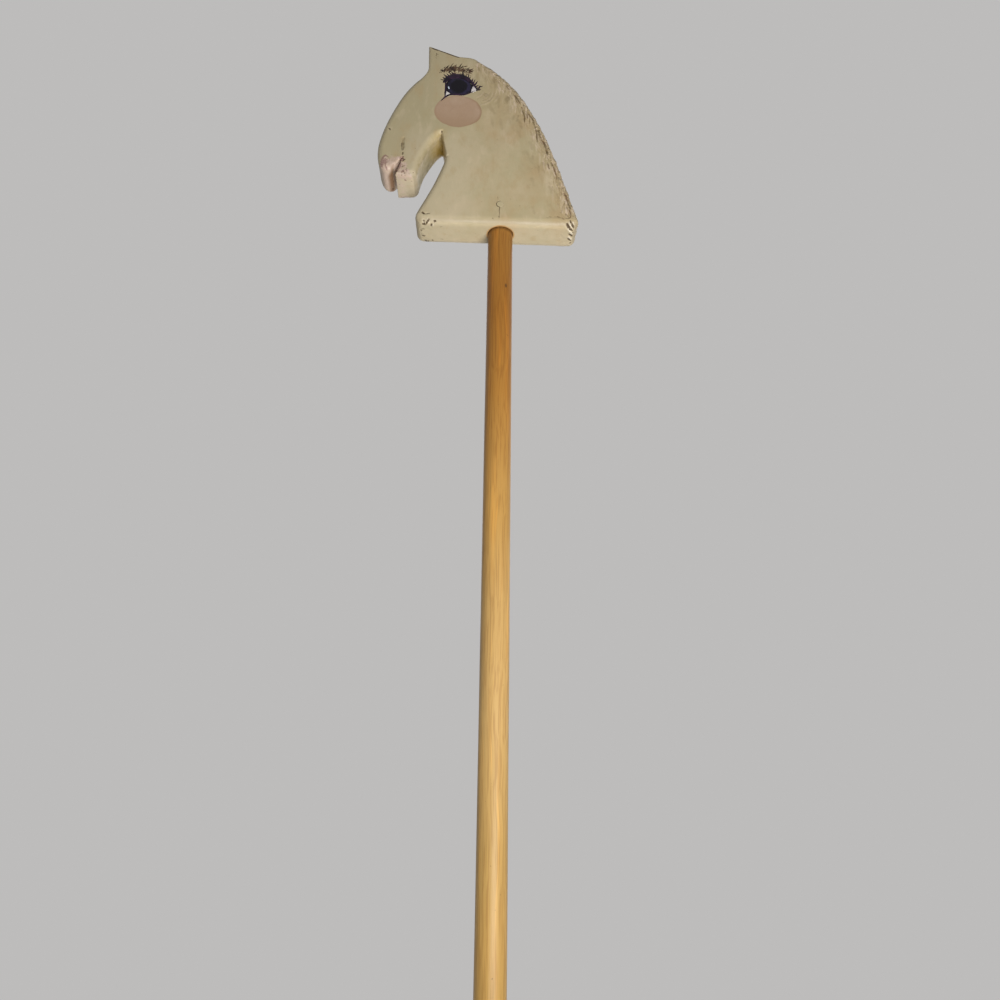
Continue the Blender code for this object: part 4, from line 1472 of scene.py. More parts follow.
def screw_space(gap, above):
    """The countersunk screw's stepped outline, each side moved out by a gap, laid along +Y
    from under the plug."""
    profile = [(radius + gap, depth if depth < 0 else depth + gap) for radius, depth in SCREW_STEPS]
    profile[0] = (profile[0][0], -above)
    points, faces = turned_arrays(profile, 48)
    top = -HALF_THICK + PLUG_THICK + FIT_GAP
    x, z = SCREW_PLACE
    placed = np.stack([points[:, 0] + x, points[:, 2] + top, z - points[:, 1]], axis=1)
    return to_metres(placed), faces


bore_points, bore_faces = turned_arrays(bore_shape(), 96)
cut_out(head, to_metres(bore_points), bore_faces)
cut_out(head, *screw_space(FIT_GAP, PLUG_THICK + FIT_GAP + 2.0))
triangle_count = sum(len(face.vertices) - 2 for face in head.data.polygons)
print("head after its holes:", triangle_count, "triangles")
print("values at its points:", [layer.name for layer in head.data.attributes][:12])

# %% [markdown]
# ## Cream oil paint
# The head was painted a warm cream over bare wood. Up close it isn't one colour: it is greener by the nose,
# browner by the mane, and cloudy all over. On it lie a round dusty pink cheek, drawn here as an ellipse in
# the object's own coordinates, the washes and lines that the masks hold, and dirt in every cut. Some of the
# colour is painted light and shade: the lower face, the chin and the underside are paler where light from
# below falls, the rounded near edges of the base and the chin are darker against their highlight, the
# throat and the jaw carry a painted shade, the inner lip a painted shade and a painted light, and the
# raised ridges a pale paint that is partly a painted highlight. Roughness follows the clouds, and the
# ridges of the brush give a fine bump.

# %% Cream colours
CREAM = colour(0.50, 0.415, 0.262)
CREAM_OLIVE = colour(0.445, 0.385, 0.232)
CREAM_TAN = colour(0.43, 0.325, 0.175)
CREAM_LIGHT = colour(0.60, 0.50, 0.345)
CHEEK_PINK = colour(0.465, 0.333, 0.236)
CHEEK_BROWN = colour(0.425, 0.292, 0.197)
CHEEK_LOW = colour(0.375, 0.252, 0.158)
CHEEK_RIM = colour(0.30, 0.185, 0.10)
WASH_DEEP = colour(0.52, 0.375, 0.31)
WASH_PALE = colour(0.60, 0.465, 0.39)
MAUVE = colour(0.22, 0.11, 0.10)
LIP_SHADE_BROWN = colour(0.21, 0.115, 0.058)
LIP_PAINTED_LIGHT = colour(0.84, 0.66, 0.55)
EDGE_PAINTED_SHADE = colour(0.20, 0.155, 0.09)
EDGE_HIGHLIGHT_PALE = colour(0.80, 0.72, 0.57)
GRIME = colour(0.085, 0.055, 0.026)
HAIR_OLIVE = colour(0.135, 0.092, 0.036)
HAIR_RED = colour(0.165, 0.095, 0.043)
HAIR_TAN = colour(0.35, 0.26, 0.13)
NECK_ORANGE = colour(0.46, 0.33, 0.178)
NOSE_OLIVE = colour(0.405, 0.352, 0.215)
THROAT_BOUNCE_GOLD = colour(0.455, 0.31, 0.048)
JAW_SHADE_OLIVE = colour(0.20, 0.155, 0.024)
CREAM_PAINTED_LIGHT = colour(0.575, 0.495, 0.355)
CREST_HIGHLIGHT_PINK = colour(0.62, 0.50, 0.37)
BORE_STAIN = colour(0.50, 0.29, 0.11)
BORE_STAIN_RING = (0.0143, 0.0129)
CHEEK_CENTRE = (-44.5, 131.0)
CHEEK_HALF = (24.2, 20.2)
HAIR_TURN = math.atan2(HAIR_DOWN[0], -HAIR_DOWN[1])
print("cheek", 2 * CHEEK_HALF[0], "by", 2 * CHEEK_HALF[1], "mm")

# %% Cheek, muzzle and brush ridges


def mask_value(tree, label):
    """A per-point value of the mesh, by its name."""
    settings = {"attribute_type": "GEOMETRY", "attribute_name": label}
    return add_node(tree, "ShaderNodeAttribute", settings).outputs["Fac"]


def cheek_paint(place, base):
    """The base with the cheek over it. The length of ((x-cx)/a, (z-cz)/b), made uneven by
    noise, is 1 on its rim; it is browner low down and darker along the right of its rim."""
    scale = (1.0 / (CHEEK_HALF[0] * MM), 0.0, 1.0 / (CHEEK_HALF[1] * MM))
    within, reach = from_centre(place, head_spot(CHEEK_CENTRE), scale)
    reach = times_plus(swing(place, 90.0, detail=2.0), 0.10, reach)
    pink = clouded(place, CHEEK_PINK, CHEEK_BROWN, 45.0, 240.0, 0.9).outputs["Colour"]
    low = times(step_between(along_axis(within, "Z"), 0.3, -0.8), 0.9)
    pink = blend_colour(low, pink, CHEEK_LOW)
    right = step_between(along_axis(within, "X"), 0.2, 0.9)
    rim = times(step_between(reach, 0.86, 0.98), times_plus(right, 0.45, 0.25))
    pink = blend_colour(rim, pink, CHEEK_RIM)
    return blend_colour(step_between(reach, 1.0, 0.965), base, pink)


def muzzle_paint(tree, place, base):
    """The base with the muzzle's pink wash, the inner lip's painted shade and painted light, and the mauve
    lines over it, each by its mask and broken up by noise."""
    blush, mauve = mask_value(tree, "blush"), mask_value(tree, "mauve")
    blotch = swing(place, 150.0)
    flecks = swing(place, 620.0, stretch=(1.0, 1.0, 0.35))
    wash = times_plus(blotch, 1.9, times_plus(flecks, 2.2, blush))
    wash = times(step_between(wash, 0.1, 1.0), 0.85, step_between(blush, 0.0, 0.2))
    pinks = step_between(times_plus(blotch, 0.7, flecks), -0.13, 0.15)
    base = blend_colour(wash, base, blend_colour(pinks, WASH_DEEP, WASH_PALE))
    # Painted shade under the upper lip, then painted light inside the cut.
    brown = times(mask_value(tree, "lip_painted_shade"), times_plus(flecks, 0.5, 0.95))
    base = blend_colour(brown, base, LIP_SHADE_BROWN)
    base = blend_colour(mask_value(tree, "lip_painted_light"), base, LIP_PAINTED_LIGHT)
    line = step_between(times_plus(blotch, 0.7, mauve), 0.12, 0.9)
    line = times(line, 0.75, step_between(mauve, 0.0, 0.1))
    return blend_colour(line, base, MAUVE)


def add_paint_bump(shader, place, strength, size=420.0, lumps=0.4):
    """Fine brush ridges on the shader's normal."""
    tree = place.id_data
    ridges = use_group(tree, brush_marks, Place=place, Size=size, Lumps=lumps).outputs["Height"]
    bump = add_node(tree, "ShaderNodeBump", Strength=strength, Distance=0.0006, Height=ridges)
    feed(shader, Normal=bump.outputs[0])


print("muzzle marks:", len(wash_marks) + len(mauve_marks))

# %% Cream finish


def cream_finish():
    """Cloudy cream with its regions, cheek, washes, lines and dirt, in that order, with painted light and
    shade among them.
    """
    made, shader, place = start_material("cream_oil_paint")
    tree = made.node_tree
    x, z = along_axis(place, "X"), along_axis(place, "Z")

    def back(low, high):
        """A step by x, 0 at low and 1 at high."""
        return step_between(x, low, high)

    def up(low, high):
        """A step by the height above the base."""
        return step_between(z, BASE_HEIGHT + low, BASE_HEIGHT + high)

    def patches(low, high, scale, **more):
        """A step of a noise field."""
        return step_between(cloud(place, scale, **more), low, high)

    def mix(base, tone, *shares):
        """The base, turned towards a tone by the product of the shares."""
        return blend_colour(times(*shares), base, tone)

    base = clouded(place, CREAM, CREAM_OLIVE, 22.0, 150.0, 1.3).outputs["Colour"]
    base = mix(base, NOSE_OLIVE, back(-0.040, -0.085), 0.75)
    band = mask_value(tree, "mane_band")
    tan = times(patches(0.42, 0.66, 19.0), back(-0.035, 0.020))
    high = times(up(0.085, 0.135), 0.9, back(-0.040, -0.005))
    base = mix(base, CREAM_TAN, largest(tan, high, band), 0.55)
    base = mix(base, NECK_ORANGE, patches(0.52, 0.68, 38.0, detail=2.0), back(-0.025, 0.0), 0.38)
    # Painted light: the lower front of the face, the chin and the underside are made paler, where the light
    # from below falls.
    pale = times(back(-0.008, -0.050), 0.42, back(-0.100, -0.085), up(0.120, 0.085))
    chin = times(back(-0.076, -0.084), 0.8, up(0.066, 0.055))
    under = times(up(0.006, 0.001), 0.35, back(-0.080, 0.0))
    base = mix(base, CREAM_PAINTED_LIGHT, largest(pale, chin, under))
    hair_place = add_node(
        tree, "ShaderNodeMapping", Vector=place, Rotation=(0.0, HAIR_TURN, 0.0), Scale=(1.0, 1.0, 0.15)
    ).outputs[0]
    streak = times(swing(hair_place, 520.0, detail=4.0, roughness=0.62), band)
    soft = times(swing(hair_place, 190.0), step_between(band, 0.0, 0.25))
    base = mix(base, HAIR_TAN, step_between(soft, 0.02, 0.14), 0.3)
    base = mix(base, CREAM_LIGHT, step_between(soft, -0.02, -0.14), 0.3)
    # Pale paint on the raised ridges and along the crest's rim, partly a painted highlight where they catch
    # the light.
    light = times_plus(streak, 5.0, times(mask_value(tree, "pale_ridge_highlight"), 0.8))
    ridge = blend_colour(up(0.0060, 0.0020), CREST_HIGHLIGHT_PINK, EDGE_HIGHLIGHT_PALE)
    base = mix(base, ridge, step_between(light, 0.0, 1.0))
    dark = largest(times_plus(streak, -5.0, -0.14), mask_value(tree, "shade"))
    dab = cloud(place, 95.0, detail=4.0, roughness=0.6, stretch=(1.0, 1.0, 0.45))
    base = mix(base, CREAM_TAN, step_between(dab, 0.5, 0.72), 0.5)
    base = mix(base, CREAM_LIGHT, step_between(dab, 0.48, 0.3), 0.35)
    # Painted shade on the throat and jaw: dark olive low on the jaw, turning to a gold painted bounce light
    # up by the throat.
    tint = blend_colour(up(0.084, 0.102), JAW_SHADE_OLIVE, THROAT_BOUNCE_GOLD)
    base = mix(base, tint, mask_value(tree, "throat_tint"), 0.9)
    # The rims of the edges are turned paler in patches, most above the base.
    rim_patches = times(patches(0.38, 0.62, 190.0, detail=4.0), mask_value(tree, "edge_rim"))
    base = mix(base, CREAM_LIGHT, rim_patches, times_plus(up(0.006, 0.014), 0.4, 0.1))
    base = muzzle_paint(tree, place, cheek_paint(place, base))
    browns = times(patches(0.44, 0.56, 120.0, detail=2.0), back(-0.050, -0.020))
    browns = blend_colour(browns, HAIR_OLIVE, HAIR_RED)
    base = mix(base, browns, step_between(dark, 0.0, 1.1))
    from_bore = from_centre(place, (0.0, 0.0, 0.0), (1.0, 1.0, 0.0))[1]
    base = mix(base, BORE_STAIN, step_between(from_bore, *BORE_STAIN_RING), up(0.006, 0.003))
    # Painted shade: the rounded near edges of the base and the chin are darkened, against the highlight
    # that they catch.
    base_edge_shade = times(up(0.0003, 0.0017), up(0.0060, 0.0022))
    chin_edge_shade = times(up(0.0524, 0.0532), up(0.0565, 0.0540), back(-0.080, -0.086))
    base = mix(base, EDGE_PAINTED_SHADE, largest(base_edge_shade, chin_edge_shade), 0.37)
    crest = times(mask_value(tree, "crest_rim"), step_between(rim_patches, 0.0, 0.4), 0.2)
    dirt = use_group(
        tree, ingrained_dirt, Place=place, Colour=base, Dirt=GRIME,
        Mask=largest(mask_value(tree, "stain"), crest), Speck_Amount=0.55,
    )
    rough = times_plus(cloud(place, 35.0), 0.22, 0.40)
    rough = times_plus(dirt.outputs["Dirt Share"], 0.25, rough)
    feed(shader, Base_Color=dirt.outputs["Colour"], Roughness=rough)
    add_paint_bump(shader, place, 0.32)
    return made


cream_paint = cream_finish()
head.data.materials.clear()
head.data.materials.append(cream_paint)
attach(head, BODY)
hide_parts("head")
print("cream paint has", len(cream_paint.node_tree.nodes), "nodes")

# %% [markdown]
# ## Painted lines and patches
# The eye, its lashes and the brow were painted with thick paint that stands up from the
# wood. Each stroke is a thin closed shell: a lens-shaped profile carried along a smooth
# path, its width running out at the ends as a brush lifts. A patch is the same lens over
# a closed rim. Both take their depth from the surface function of the head, so they lie
# on its waves, and each is painted on both faces.

# %% Strokes of paint
BELOW = 0.25


def smooth_path(path, count, closed=False):
    """Catmull-Rom curve through the path's points, at places evenly spaced by length."""
    path = np.asarray(path, float)
    if closed:
        padded = np.vstack([path[-1:], path, path[:2]])
    else:
        padded = np.vstack([2 * path[0] - path[1], path, 2 * path[-1] - path[-2]])
    t = (np.arange(16) / 16)[:, None]
    pieces = []
    for p0, p1, p2, p3 in zip(padded, padded[1:], padded[2:], padded[3:]):
        pieces.append(
            0.5 * (2 * p1 + (p2 - p0) * t + (2 * p0 - 5 * p1 + 4 * p2 - p3) * t**2
                   + (3 * p1 - p0 - 3 * p2 + p3) * t**3)
        )
    return resample(np.vstack(pieces + [padded[-2:-1]]), count, closed)


def stroke_shell(side, path, half_width, lift, start_taper, end_taper, rings=22, around=10):
    """Profile (w cos a, h sin a) along the path; w = half width * (1 - (1 - t/s)^2)^0.5
    at the start taper s, and * ((1-t)/e)^0.8 at the end taper e. Gives (x, z), the height
    above the wood, and faces."""
    t = np.linspace(0.0, 1.0, rings + 2)
    line = smooth_path(path, rings + 2)
    rise = np.sqrt(np.clip(1.0 - np.clip(1.0 - t / start_taper, 0.0, 1.0) ** 2, 0.0, 1.0))
    fall = np.clip((1.0 - t) / end_taper, 0.0, 1.0) ** 0.8
    width = (half_width * rise * fall)[1:-1]
    tangent = np.gradient(line, axis=0)
    tangent /= np.linalg.norm(tangent, axis=1, keepdims=True)
    across = side * np.stack([tangent[:, 1], -tangent[:, 0]], axis=1)[1:-1]
    turn = np.linspace(0.0, 2 * np.pi, around, endpoint=False)
    flat = line[1:-1, None] + across[:, None] * (width[:, None] * np.cos(turn))[:, :, None]
    swell = np.sqrt(width / half_width)[:, None]
    out = np.where(np.sin(turn) > 0, lift, BELOW) * np.sin(turn) * swell
    flat = np.vstack([flat.reshape(-1, 2), line[:1], line[-1:]])
    out = np.concatenate([out.ravel(), [0.0, -0.1]])
    return flat, out, ring_faces(rings, around)


def patch_shell(side, rim, lift, rings=9):
    """Lens over a closed rim: point = c + (rim - c) s, height = lift (1 - s^4), for the
    top, and the same dipped under the surface for the bottom."""
    area = np.sum(rim[:, 0] * np.roll(rim[:, 1], -1) - np.roll(rim[:, 0], -1) * rim[:, 1])
    if (area > 0) != (side < 0):
        rim = rim[::-1]
    centre = rim.mean(axis=0)
    share = np.linspace(0.0, 1.0, rings + 1)[1:]
    low = [(s, -BELOW * (1 - s**4)) for s in share]
    high = [(s, lift * (1 - s**4)) for s in share[-2::-1]]
    shares, out = np.array(low + high).T
    flat = centre + (rim - centre) * shares[:, None, None]
    flat = np.vstack([flat.reshape(-1, 2), centre[None], centre[None]])
    out = np.concatenate([np.repeat(out, len(rim)), [-BELOW, lift]])
    return flat, out, ring_faces(len(shares), len(rim))


def laid_on_head(shells, side):
    """Shells of one side joined, each one's indices moved past those before, and laid
    on the waved face at their heights."""
    faces, first = [], 0
    for flat, _, shell_faces in shells:
        faces += [tuple(corner + first for corner in face) for face in shell_faces]
        first += len(flat)
    flat = np.vstack([shell[0] for shell in shells])
    out = np.concatenate([shell[1] for shell in shells])
    distance, rounds, along = edge_distance(flat)
    points = np.stack([flat[:, 0], side * face_depth(distance, rounds), flat[:, 1]], axis=1)
    push = surface_relief(points, distance, along)[0]
    points[:, 1] += side * (push + out)
    return points, faces


def painted_piece(name, shape, finish):
    """A piece of paint on both faces that rides with the head; shape(side) gives the
    shells of one side."""
    near, near_faces = laid_on_head(shape(NEAR), NEAR)
    far, far_faces = laid_on_head(shape(FAR), FAR)
    faces = near_faces + [tuple(corner + len(near) for corner in face) for face in far_faces]
    made = make_piece(name, to_metres(np.vstack([near, far])), faces, finish)
    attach(made, BODY)
    return made


print("a stroke has", len(ring_faces(22, 10)), "faces")

# %% [markdown]
# ## Colours for the eye and the brow
# These are thick artists' paints, more even than the cream but still cloudy, with the
# ridges of a finer brush. The iris is drawn by its own radius: a black middle, a dark
# violet ring with streaks, and a black rim.

# %% Thick paints
IRIS_CENTRE = (-44.2, 162.8)
IRIS_RADIUS = 14.6
IRIS_BLACK = colour(0.007, 0.006, 0.010)
IRIS_VIOLET = colour(0.026, 0.022, 0.052)


def thick_paint(name, first, second, dirt=0.15):
    """A cloudy thick paint between two colours."""
    made, shader, place = start_material(name, Specular_IOR_Level=0.18)
    base = clouded(place, first, second, 160.0, 900.0, 0.5)
    clouded_dirt(shader, place, base, GRIME, 0.0, dirt, (0.18, 0.34))
    add_paint_bump(shader, place, 0.45, size=900.0, lumps=0.6)
    return made


def iris_paint():
    """Colour by distance from the iris's middle, broken by noise."""
    made, shader, place = start_material("iris_paint", Specular_IOR_Level=0.15)
    scale = 1.0 / (IRIS_RADIUS * MM)
    reach = from_centre(place, head_spot(IRIS_CENTRE), (scale, 0.0, scale))[1]
    reach = times_plus(swing(place, 420.0), 0.16, reach)
    ring = step_between(reach, 0.52, 0.64)
    ring = maths("SUBTRACT", ring, step_between(reach, 0.76, 0.88))
    patchy = step_between(cloud(place, 130.0, detail=2.0), 0.40, 0.60)
    ring = times(ring, times_plus(patchy, 0.7, 0.3))
    mixed = blend_colour(ring, IRIS_BLACK, IRIS_VIOLET)
    feed(shader, Base_Color=mixed, Roughness=times_plus(ring, 0.12, 0.42))
    add_paint_bump(shader, place, 0.35, size=800.0, lumps=0.5)
    return made


lash_paint = thick_paint("lash_paint", colour(0.010, 0.006, 0.013), colour(0.038, 0.018, 0.042), 0.0)
white_paint = thick_paint("white_paint", colour(0.76, 0.73, 0.72), colour(0.62, 0.58, 0.60), 0.3)
glint_paint = thick_paint("glint_paint", colour(0.66, 0.74, 0.84), colour(0.50, 0.58, 0.72), 0.0)
brow_paint = thick_paint("brow_paint", colour(0.034, 0.020, 0.015), colour(0.12, 0.07, 0.042), 0.0)
print("thick paints ready")

# %% [markdown]
# ## The eye
# The eye is an almond of white under a big dark iris, with a heavy black line above that
# runs out in lashes, a thinner one below with a tail at the inner corner, and a small
# blue-white glint. The rim of the iris is its circle, cut off where the almond ends.

# %% Eye
EYE_RIM = [
    (-57.6, 149.4), (-57.4, 157.5), (-57.2, 165.6), (-54.0, 171.4), (-46.5, 173.6),
    (-38.0, 172.0), (-31.0, 165.8), (-26.2, 158.9), (-31.5, 155.0), (-38.5, 152.6),
    (-46.0, 151.8), (-52.6, 151.6),
]
GLINT_PLACE = (-54.6, 160.5)
UPPER_LID = [
    (-59.4, 166.4), (-57.4, 170.6), (-53.4, 174.0), (-45.6, 176.0), (-37.2, 173.6),
    (-30.4, 167.0), (-25.4, 158.4),
]
LID_LINES = [
    ([(-57.8, 169.4), (-57.7, 158.0), (-58.3, 147.8)], 0.95, 0.30, 0.2, 0.3),
    ([(-62.3, 143.2), (-58.3, 148.0), (-53.5, 151.7), (-48.1, 152.3), (-38.0, 152.8), (-26.4, 158.6)],
     1.1, 0.32, 0.45, 0.35),
    (UPPER_LID, 2.9, 0.38, 0.2, 0.55),
    ([(-27.2, 158.0), (-25.3, 159.2), (-23.2, 159.3), (-22.3, 160.9)], 1.0, 0.32, 0.3, 0.5),
    ([(-25.4, 160.4), (-23.7, 161.7), (-23.3, 163.7), (-21.4, 163.5), (-19.7, 164.7)], 0.8, 0.32, 0.3, 0.5),
]
INNER_LASHES = [
    ([(-57.4, 168.8), (-59.4, 168.1), (-60.8, 166.6)], 1.3, 0.3, 0.2, 0.4),
    ([(-57.4, 169.9), (-60.8, 170.3), (-63.9, 171.5)], 0.8, 0.3, 0.12, 0.8),
    ([(-57.2, 171.3), (-59.4, 172.1), (-61.5, 173.8)], 1.05, 0.3, 0.12, 0.7),
    ([(-55.4, 174.2), (-58.2, 175.4), (-60.5, 177.9)], 1.1, 0.3, 0.12, 0.7),
    ([(-54.2, 175.6), (-56.6, 177.8), (-57.4, 179.8)], 0.7, 0.3, 0.12, 0.9),
    ([(-52.0, 177.0), (-54.2, 179.6), (-55.6, 182.8)], 0.8, 0.3, 0.12, 0.9),
    ([(-49.2, 177.6), (-51.6, 179.8), (-53.3, 182.4)], 0.85, 0.3, 0.12, 0.8),
]
UPPER_LASHES = 13
SHORT_LASHES = 16


def iris_rim(rim, count=72):
    """Radius in each direction: the smaller of the circle's and the way to the almond."""
    turn = np.linspace(0.0, 2 * np.pi, count, endpoint=False)
    centre = np.array(IRIS_CENTRE)
    direction = directions(turn)
    start = rim - centre
    step = np.roll(rim, -1, axis=0) - rim
    cross = direction[:, None, 0] * step[:, 1] - direction[:, None, 1] * step[:, 0]
    cross = np.where(np.abs(cross) < 1e-9, 1e-9, cross)
    reach = (start[:, 0] * step[:, 1] - start[:, 1] * step[:, 0]) / cross
    share = (start[:, 0] * direction[:, None, 1] - start[:, 1] * direction[:, None, 0]) / cross
    hit = (share >= 0.0) & (share <= 1.0) & (reach > 0.0)
    edge = np.where(hit, reach, 1e3).min(axis=1)
    return centre + direction * np.minimum(IRIS_RADIUS, edge - 0.15)[:, None]


def lash_fan(seed, count, shares, headings, lengths, half_width):
    """Lashes from the upper lid: root at a share of the lid, a heading in degrees and a
    length that change evenly from the first to the last, each a bowed stroke to a point."""
    lid = smooth_path(UPPER_LID, 60)
    draw = np.random.default_rng(seed)
    t = np.linspace(0.0, 1.0, count)
    root = lid[np.round((shares[0] + (shares[1] - shares[0]) * t) * 59).astype(int)]
    heading = headings[0] + (headings[1] - headings[0]) * t + draw.normal(0.0, 13.0, count)
    heading = np.radians(heading)
    length = lengths[0] + (lengths[1] - lengths[0]) * t + draw.normal(0.0, 1.1, count)
    tip = root + length[:, None] * directions(heading)
    bow = np.stack([np.zeros(count), -0.16 * length], axis=1)
    width = half_width * draw.uniform(0.75, 1.25, count)
    middle = (root + tip) / 2 + bow
    return [([root[i], middle[i], tip[i]], width[i], 0.3, 0.12, 0.9) for i in range(count)]


def ellipse(centre, half_x, half_z, lean, count=28):
    """Rim centre + (a cos t, b sin t), turned by lean degrees."""
    turn = np.linspace(0.0, 2 * np.pi, count, endpoint=False)
    lean = math.radians(lean)
    flat = np.stack([half_x * np.cos(turn), half_z * np.sin(turn)], axis=1)
    spin = np.array([[math.cos(lean), math.sin(lean)], [-math.sin(lean), math.cos(lean)]])
    return np.array(centre) + flat @ spin


eye_rim = smooth_path(EYE_RIM, 96, closed=True)
glint_rim = ellipse(GLINT_PLACE, 0.85, 2.1, 16.0)
lines = LID_LINES + INNER_LASHES
lines += lash_fan(6, UPPER_LASHES, (0.34, 0.93), (112.0, 42.0), (5.6, 6.4), 0.95)
lines += lash_fan(9, SHORT_LASHES, (0.06, 0.9), (140.0, 54.0), (3.4, 4.4), 0.6)
eye_white = painted_piece("eye_white", lambda side: [patch_shell(side, eye_rim, 0.18)], white_paint)
iris_edge = iris_rim(eye_rim)
iris = painted_piece("eye_iris", lambda side: [patch_shell(side, iris_edge, 0.42)], iris_paint())
glint = painted_piece("eye_glint", lambda side: [patch_shell(side, glint_rim, 0.75, rings=5)], glint_paint)
eye_lines = painted_piece(
    "eye_lines_and_lashes", lambda side: [stroke_shell(side, *line) for line in lines], lash_paint
)
print("eye:", [len(piece.data.polygons) for piece in (eye_white, iris, glint, eye_lines)], "faces")

# %% [markdown]
# ## The brow
# The brow is a row of short brown dabs that rise to the right along an arch over the
# eye, thin and faint at the inner end and dense further out. Their places along the arch
# are seeded.

# %% Brow
BROW_ARCH = [(-65.4, 180.6), (-58.0, 182.8), (-50.0, 184.0), (-41.0, 184.0), (-32.0, 181.0)]
BROW_HAIRS = 120


def brow_lines():
    """Dabs along the arch: a seeded offset across it, a lean to the right, and a width
    that grows from the inner end."""
    arch = smooth_path(BROW_ARCH, 80)
    draw = np.random.default_rng(8)
    share = np.sort(draw.uniform(0.0, 0.94, BROW_HAIRS))
    nearest = np.round(share * 79).astype(int)
    place, tangent = arch[nearest], np.gradient(arch, axis=0)[nearest]
    slope = np.arctan2(tangent[:, 1], tangent[:, 0])
    heading = slope + np.radians(draw.normal(36.0, 18.0, BROW_HAIRS))
    grown = 0.45 + 0.55 * smooth_step(share, 0.0, 0.35)
    length = draw.uniform(3.8, 7.4, BROW_HAIRS) * grown
    across = np.stack([-np.sin(slope), np.cos(slope)], axis=1)
    start = place + across * (draw.normal(-0.8, 2.1, BROW_HAIRS) * grown)[:, None]
    step = directions(heading)
    end = start + step * length[:, None]
    middle = (start + end) / 2 + across * 0.35
    width = draw.uniform(0.36, 0.72, BROW_HAIRS) * grown
    return [
        ([start[i], middle[i], end[i]], width[i], 0.22, 0.25, 0.7) for i in range(BROW_HAIRS)
    ]


brow_dabs = brow_lines()
brow = painted_piece(
    "brow_hairs",
    lambda side: [stroke_shell(side, *dab, rings=10, around=8) for dab in brow_dabs],
    brow_paint,
)
print("brow:", len(brow.data.polygons), "faces")

# %% [markdown]
# ## The pole
# The pole is a turned hardwood dowel under amber varnish. It is a profile turned about
# its axis, but a real dowel isn't quite round or straight: its surface follows the
# grain, which stands up in long low ridges, its ends are eased, and the foot is bruised.
# The radius is therefore a function of the angle and the height.

# %% Pole
POLE_LENGTH = (pole_high.z - pole_low.z) / MM
POLE_AROUND = 112
POLE_ROWS = 300
POLE_CHAMFER = 1.2
END_ROWS = np.array([0.4, 0.8, 1.2, 1.8])
END_RINGS = np.array([0.35, 0.7])
KNOT = (-62.0, 775.0)


def pole_arrays():
    """radius(a, z) = R - chamfer at the ends + long grain ridges + slow waves + bruises
    at the foot; the ends close with rings that shrink to a middle point."""
    turn = np.linspace(0.0, 2 * np.pi, POLE_AROUND, endpoint=False)
    share = np.linspace(0.0, 1.0, POLE_ROWS)
    height = POLE_LENGTH * (share - 0.02 * np.sin(2 * np.pi * share) / 2)
    height = np.unique(np.concatenate([height, END_ROWS, POLE_LENGTH - END_ROWS]))
    from_end = np.minimum(height, POLE_LENGTH - height)
    ease = POLE_CHAMFER * (1.0 - np.sin(np.clip(from_end / POLE_CHAMFER, 0, 1) * math.pi / 2))
    angle, level = np.meshgrid(turn, height)
    flat = around_axis(POLE_RADIUS, angle, level).reshape(-1, 3)
    grain = soft_noise(flat / np.array([1.1, 1.1, 70.0]), 1.0, 21)
    waves = soft_noise(flat / np.array([20.0, 20.0, 90.0]), 1.0, 22)
    bruise = np.clip(soft_noise(flat, 4.5, 23) - 0.1, 0.0, 1.0)
    bruise *= 1.0 - smooth_step(flat[:, 2], 2.0, 11.0)
    push = (0.035 * grain + 0.07 * waves - 0.5 * bruise).reshape(angle.shape)
    in_bore = smooth_step(level, POLE_LENGTH - 82.0, POLE_LENGTH - 74.0)
    radius = POLE_RADIUS + push * (1.0 - in_bore) - 0.03 - ease[:, None]
    rings = [around_axis(radius[0] * share, turn, 0.0) for share in END_RINGS]
    rings += list(around_axis(radius, angle, level))
    rings += [around_axis(radius[-1] * share, turn, height[-1]) for share in END_RINGS[::-1]]
    ends = np.array([[0.0, 0.0, 0.0], [0.0, 0.0, POLE_LENGTH]])
    return np.vstack([np.vstack(rings), ends]) * MM, ring_faces(len(rings), POLE_AROUND)


pole = make_piece("varnished_pole", *pole_arrays())
cut_out(pole, *screw_space(FIT_GAP, 0.0))
print("pole:", len(pole.data.polygons), "faces")

# %% [markdown]
# ## Amber varnish
# The varnish is darker and redder near the head, where it was put on thickly and hands held it, and paler
# and yellower further down; part of the darkening near the head is painted shade, where the head shades the
# pole. Under it the grain runs along the pole as fine streaks. Noise that is stretched a long way along Z
# gives the streaks, a ramp over the height gives the change of tone and the painted shade, and a thin coat
# gives the gloss.

# %% Pole finish
# Tone by height: darker near the head, partly the varnish's own tone and partly painted shade where the
# head shades the pole.
POLE_TONES_AND_SHADE = [
    (0.231, colour(0.585, 0.355, 0.105)),
    (0.300, colour(0.510, 0.322, 0.107)),
    (0.389, colour(0.541, 0.348, 0.131)),
    (0.481, colour(0.490, 0.306, 0.107)),
    (0.557, colour(0.448, 0.256, 0.070)),
    (0.667, colour(0.366, 0.173, 0.033)),
    (0.758, colour(0.313, 0.133, 0.020)),
    (0.838, colour(0.325, 0.148, 0.026)),
]
STREAK_BROWN = colour(0.42, 0.26, 0.14)
BAND_PALE = colour(1.0, 0.86, 0.60)
KNOT_BROWN = colour(0.07, 0.03, 0.012)
POLE_GRIME = colour(0.06, 0.032, 0.014)


